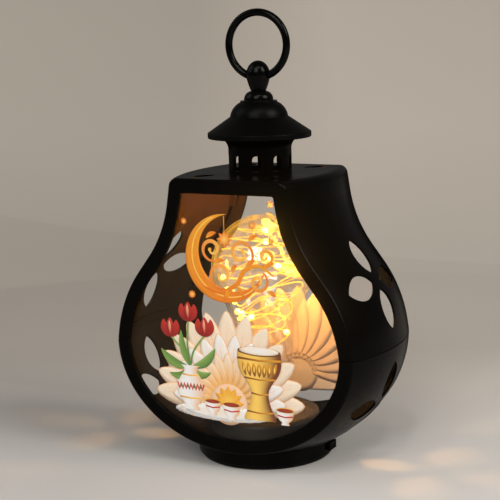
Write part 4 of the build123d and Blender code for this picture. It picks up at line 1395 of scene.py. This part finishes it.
@dataclass
class Foot:
    """Deck, base plate, batteries, door and switch.

    Attributes:
        deck, plastic, ridge: the finishes of the deck, of the pieces below it, and of the grip ridges.
        base_screw, door_screw: the shapes of the screws.
        screw_circle: radius of the circle of the base screws.
        door_screw_x: place of the door's screw.
        knob, knob_ridge, knob_steps: middle of the knob's outer face, half size and offsets of its ridges.
        door_low, door_ridge, door_steps: height of the door's outer face, half size and places of its ridges.
    """

    # painted light: the deck's tint is much lighter and browner than the other black plastic, for its lit top
    deck: MouldedPlastic = MouldedPlastic("deck_plastic", (0.038, 0.032, 0.027), sheen=0.30)
    plastic: MouldedPlastic = MouldedPlastic("base_plastic", (0.0020, 0.0020, 0.0019), gloss=0.34, grain=0.16)
    ridge: MouldedPlastic = MouldedPlastic("ridge_plastic", (0.0020, 0.0020, 0.0019), gloss=0.32)
    base_screw: CrossScrew = CrossScrew(head=2.2, seat=1.6, low=0.1, shank=1.2, tip=13.4)
    door_screw: CrossScrew = CrossScrew(head=2.2, seat=2.0, low=0.6, shank=1.1, tip=6.8)
    screw_circle: float = 34.302
    door_screw_x: float = -28.55
    knob: Place = (42.3, 2.0, 6.7)
    knob_ridge: Place = (0.35, 0.34, 1.55)
    knob_steps: tuple[float, ...] = (-2.4, -0.8, 0.8, 2.4)
    door_low: float = 0.5
    door_ridge: Place = (0.45, 6.5, 0.35)
    door_steps: tuple[float, ...] = (-19.6, -17.8, -16.0)

    def dress(self) -> None:
        """Dresses the pieces that keep their CAD shape."""
        dress(self.deck.material(), "deck")
        dress(self.plastic.material(), "base_plate", "battery_door", "battery_holder", "switch_body",
              "switch_knob")
        dress(CellJacket("cell_jacket_ahead", 1).material(), "battery_front", "battery_rear")
        dress(CellJacket("cell_jacket_back", -1).material(), "battery_middle")
        dress(PlatedSteel("contact_steel").material(), "battery_contacts")
        dress(BoardLacquer().material(), "circuit_board")

    def build(self) -> None:
        """Makes the screws with their crosses, and the grip ridges of knob and door."""
        steel = PlatedSteel("screw_steel").material()
        screws = Surface()
        for turn in np.radians((45.0, 135.0, 225.0, 315.0)):
            x, y = self.screw_circle * math.cos(turn), self.screw_circle * math.sin(turn)
            screws.grid(self.base_screw.grid(x, y))
        made = screws.piece("base_cross_screws", steel, Body.LANTERN, sharp=35.0)
        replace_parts(made, "base_screws")
        catch = Surface()
        catch.grid(self.door_screw.grid(self.door_screw_x, 0.0))
        made = catch.piece("door_cross_screw", steel, Body.DOOR, sharp=35.0)
        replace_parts(made, "door_screw")
        plastic = self.ridge.material()
        ridges = Surface()
        x, y, z = self.knob
        for step in self.knob_steps:
            ridges.grid(self.bead((x, y + step, z), self.knob_ridge))
        ridges.piece("knob_ridges", plastic, Body.SLIDER, sharp=180.0)
        grips = Surface()
        for step in self.door_steps:
            grips.grid(self.bead((step, 0.0, self.door_low), self.door_ridge))
        grips.piece("door_ridges", plastic, Body.DOOR, sharp=180.0)

    @staticmethod
    def bead(centre: Place, half: Place) -> np.ndarray:
        """A rounded ridge: a superellipsoid, centre + half times signed powers of sines and cosines.

        Args:
            centre: its middle.
            half: its half sizes.

        Returns:
            The grid of its skin.
        """
        polar, turn = np.linspace(0.0, np.pi, 15)[:, None], np.linspace(0.0, TURN, 25)[None, :]

        def soft(value: np.ndarray) -> np.ndarray:
            """A signed power that squares the shape off a little."""
            return np.sign(value) * np.abs(value) ** 0.6

        x, y = soft(np.sin(polar)) * soft(np.cos(turn)), soft(np.sin(polar)) * soft(np.sin(turn))
        z = soft(np.cos(polar)) + 0.0 * turn
        return np.stack([x, y, z], -1) * np.array(half) + np.array(centre)


# Studio


@dataclass(frozen=True)
class Viewpoint:
    """The camera of the photograph, in degrees, millimetres and pixels of a 500-pixel frame.

    Attributes:
        azimuth, elevation, distance, target: where it stands, and the height that it looks at.
        focal, frame, sensor: its lens.
        roll, pan, tilt: small turns after that, in radians.
    """

    azimuth: float = 26.848
    elevation: float = 11.401
    distance: float = 764.626
    target: float = 100.0
    focal: float = 1318.0
    frame: float = 500.0
    sensor: float = 36.0
    roll: float = -0.0240
    pan: float = 0.00935
    tilt: float = -0.025

    @staticmethod
    def spin(angle: float, first: int, second: int) -> np.ndarray:
        """A turn by an angle in the plane of two axes."""
        turn = np.eye(3)
        turn[first, first] = turn[second, second] = math.cos(angle)
        turn[first, second], turn[second, first] = math.sin(angle), -math.sin(angle)
        return turn

    def matrix(self) -> Matrix:
        """The camera's place and turn: look at the target, then pan, tilt and roll by small angles."""
        a, e = math.radians(self.azimuth), math.radians(self.elevation)
        back = np.array([math.sin(a) * math.cos(e), -math.cos(a) * math.cos(e), math.sin(e)])
        right = unit(np.cross(-back, [0.0, 0.0, 1.0]))
        rows = np.stack([right, np.cross(right, -back), -back])
        rows = self.spin(self.roll, 0, 1) @ self.spin(self.tilt, 1, 2) @ self.spin(self.pan, 0, 2) @ rows
        matrix = np.eye(4)
        matrix[:3, :3] = np.stack([rows[0], rows[1], -rows[2]], -1)
        matrix[:3, 3] = (np.array([0.0, 0.0, self.target]) + self.distance * back) * MM
        return Matrix(matrix.tolist())


@dataclass
class Studio:
    """Paper sweep, soft lights, the lamp's own warm light, and the camera.

    Attributes:
        view: the camera.
        aim: the place that soft lights are aimed at, in metres.
        floor_reach: the floor's radius in metres.
        low, bend, top: where the backdrop begins, the radius of its bend, and its height, in metres.
        white, cool, warm, lit: the colours of the lamps, the fill, the daylight and the bulb.
        room, room_strength: the colour and strength of the light from all round.
        bloom_from, bloom_strength, bloom_size: the halo round bright lights.
    """

    view: Viewpoint = Viewpoint()
    aim: Place = (0.0, 0.0, 0.11)
    floor_reach: float = 4.0
    low: float = 0.55
    bend: float = 2.6
    top: float = 4.5
    white: Colour = (1.0, 0.98, 0.95)
    cool: Colour = (0.90, 0.96, 1.0)
    warm: Colour = (1.0, 0.97, 0.93)
    lit: Colour = (1.0, 0.52, 0.14)
    room: Colour = (0.86, 0.84, 0.81)
    room_strength: float = 0.16
    bloom_from: float = 1.4
    bloom_strength: float = 0.20
    bloom_size: float = 0.30

    def camera(self) -> None:
        """Makes the camera."""
        data = bpy.data.cameras.new("camera")
        data.sensor_width = self.view.sensor
        data.lens = self.view.focal / self.view.frame * self.view.sensor
        data.clip_start, data.clip_end = 0.02, 50.0
        made = placed("camera", data)
        made.matrix_world = self.view.matrix()
        bpy.context.scene.camera = made

    def sheet(self, name: str, points: np.ndarray, material: bpy.types.Material) -> bpy.types.Object:
        """Makes a sheet of the studio.

        Args:
            name: its name.
            points: a grid of points, in metres.
            material: its material.

        Returns:
            The sheet.
        """
        mesh = bpy.data.meshes.new(name)
        mesh.from_pydata(points.reshape(-1, 3).tolist(), [], quads(*points.shape[:2]).tolist())
        mesh.materials.append(material)
        made = placed(name, mesh)
        return made

    def paper(self) -> None:
        """Makes the floor, and a backdrop that rises in a quarter circle and that only cameras see."""
        material = StudioPaper(self.view.azimuth).material()
        reach = np.linspace(0.0, self.floor_reach, 41)
        floor = self.sheet("floor", turned(np.stack([reach, np.full(41, -0.0003)], -1), 96), material)
        arc = np.linspace(0.0, np.pi / 2.0, 33)
        radius = np.concatenate([self.low + self.bend * np.sin(arc), [self.low + self.bend]])
        height = np.concatenate([self.bend * (1.0 - np.cos(arc)), [self.top]]) + 0.0002
        wall = self.sheet("backdrop", turned(np.stack([radius, height], -1), 96), material)
        for made in (floor, wall):
            made.data.polygons.foreach_set("use_smooth", np.ones(len(made.data.polygons), bool))
        wall.visible_diffuse = wall.visible_glossy = wall.visible_transmission = wall.visible_shadow = False

    def flag(self, left: float, right: float, near: float, far: float, top: float) -> None:
        """Sets a folded black card behind the lantern for the body's dark edge: only mirror images show it.

        Args:
            left: its least X, in metres.
            right: its greatest X.
            near: its least Y.
            far: its greatest Y, where it is folded upwards.
            top: its height.
        """
        material = Bench("black_card").finish({
            "Base Color": BLACK, "Roughness": 1.0, "Specular IOR Level": 0.0})
        low = 0.0004
        fold = ((near, low), (far, low), (far, top))
        points = np.array([[(x, y, z) for x in (left, right)] for y, z in fold])
        made = self.sheet("flag", points, material)
        made.visible_camera = made.visible_diffuse = made.visible_transmission = made.visible_shadow = False

    def light(self, name: str, kind: str, place: Place, power: float, colour: Colour) -> bpy.types.Object:
        """Makes a light aimed at the lantern.

        Args:
            name: its name.
            kind: its type.
            place: where it hangs, in metres.
            power: its power.
            colour: its colour.

        Returns:
            The light.
        """
        made = placed(name, bpy.data.lights.new(name, kind))
        made.data.energy, made.data.color = power, colour
        made.location = place
        made.rotation_euler = (Vector(self.aim) - Vector(place)).to_track_quat("-Z", "Y").to_euler()
        return made

    def lamp(self, name: str, place: Place, size: float, power: float, colour: Colour) -> None:
        """Makes a square soft light.

        Args:
            name: its name.
            place: where it hangs, in metres.
            size: its side, in metres.
            power: its power in watts.
            colour: its colour.
        """
        self.light(name, "AREA", place, power, colour).data.size = size

    def daylight(self, way: Place, spread: float, power: float) -> None:
        """Makes an even light over the whole room, as from a large window.

        Args:
            way: the direction it comes from.
            spread: the angle it fills, in degrees.
            power: its power per square metre.
        """
        place = tuple(Vector(self.aim) + Vector(way))
        self.light("daylight", "SUN", place, power, self.warm).data.angle = math.radians(spread)

    def glow(self, height: float, radius: float, power: float) -> None:
        """Makes a warm ball of light inside the bulb, for what its small lights give together.

        Args:
            height: its height in millimetres.
            radius: its radius in millimetres.
            power: its power in watts.
        """
        made = self.light("bulb_glow", "POINT", (0.0, 0.0, height * MM), power, self.lit)
        made.data.shadow_soft_size = radius * MM
        made.visible_camera = made.visible_glossy = made.visible_transmission = False

    def build(self) -> None:
        """Sets up the whole studio."""
        scene = bpy.context.scene
        self.camera()
        self.paper()
        self.flag(left=-1.2, right=0.065, near=0.06, far=0.6, top=0.18)
        self.daylight((0.98, -0.06, 0.68), spread=30.0, power=2.4)
        self.lamp("front", (0.2, -2.1, 1.7), 1.4, 36.0, self.white)
        self.lamp("fill", (-1.5, -0.6, 1.2), 1.2, 6.0, self.cool)
        self.lamp("spot_a", (0.33, -0.95, 1.75), 0.16, 3.0, self.white)
        self.lamp("spot_b", (0.75, -0.75, 1.75), 0.16, 3.0, self.white)
        self.glow(height=108.0, radius=12.0, power=0.42)
        world = bpy.data.worlds.new("room")
        world.use_nodes = True
        room = world.node_tree.nodes["Background"]
        room.inputs["Color"].default_value = (*self.room, 1.0)
        room.inputs["Strength"].default_value = self.room_strength
        scene.world = world
        scene.view_settings.view_transform = "Standard"
        scene.cycles.transparent_max_bounces = 32
        self.bloom(scene)

    def bloom(self, scene: bpy.types.Scene) -> None:
        """Adds the soft halo that a lens gives round bright lights.

        Args:
            scene: the scene.
        """
        scene.use_nodes = True
        tree = scene.node_tree
        tree.nodes.clear()
        layers, halo = tree.nodes.new("CompositorNodeRLayers"), tree.nodes.new("CompositorNodeGlare")
        halo.glare_type = "BLOOM"
        halo.inputs["Threshold"].default_value = self.bloom_from
        halo.inputs["Strength"].default_value = self.bloom_strength
        halo.inputs["Size"].default_value = self.bloom_size
        picture = tree.nodes.new("CompositorNodeComposite")
        tree.links.new(layers.outputs["Image"], halo.inputs["Image"])
        tree.links.new(halo.outputs["Image"], picture.inputs["Image"])


def main() -> None:
    """Sets up the studio, and then builds and dresses the lantern, piece by piece."""
    logging.basicConfig(level=logging.INFO, format="%(name)s %(message)s")
    Studio().build()
    Shells().dress()
    windows = Windows()
    windows.dress()
    windows.build()
    lamp = Lamp()
    lamp.dress()
    lamp.build_wire()
    lamp.build_beads()
    Crown().dress()
    foot = Foot()
    foot.dress()
    foot.build()


if __name__ == "__main__":
    main()
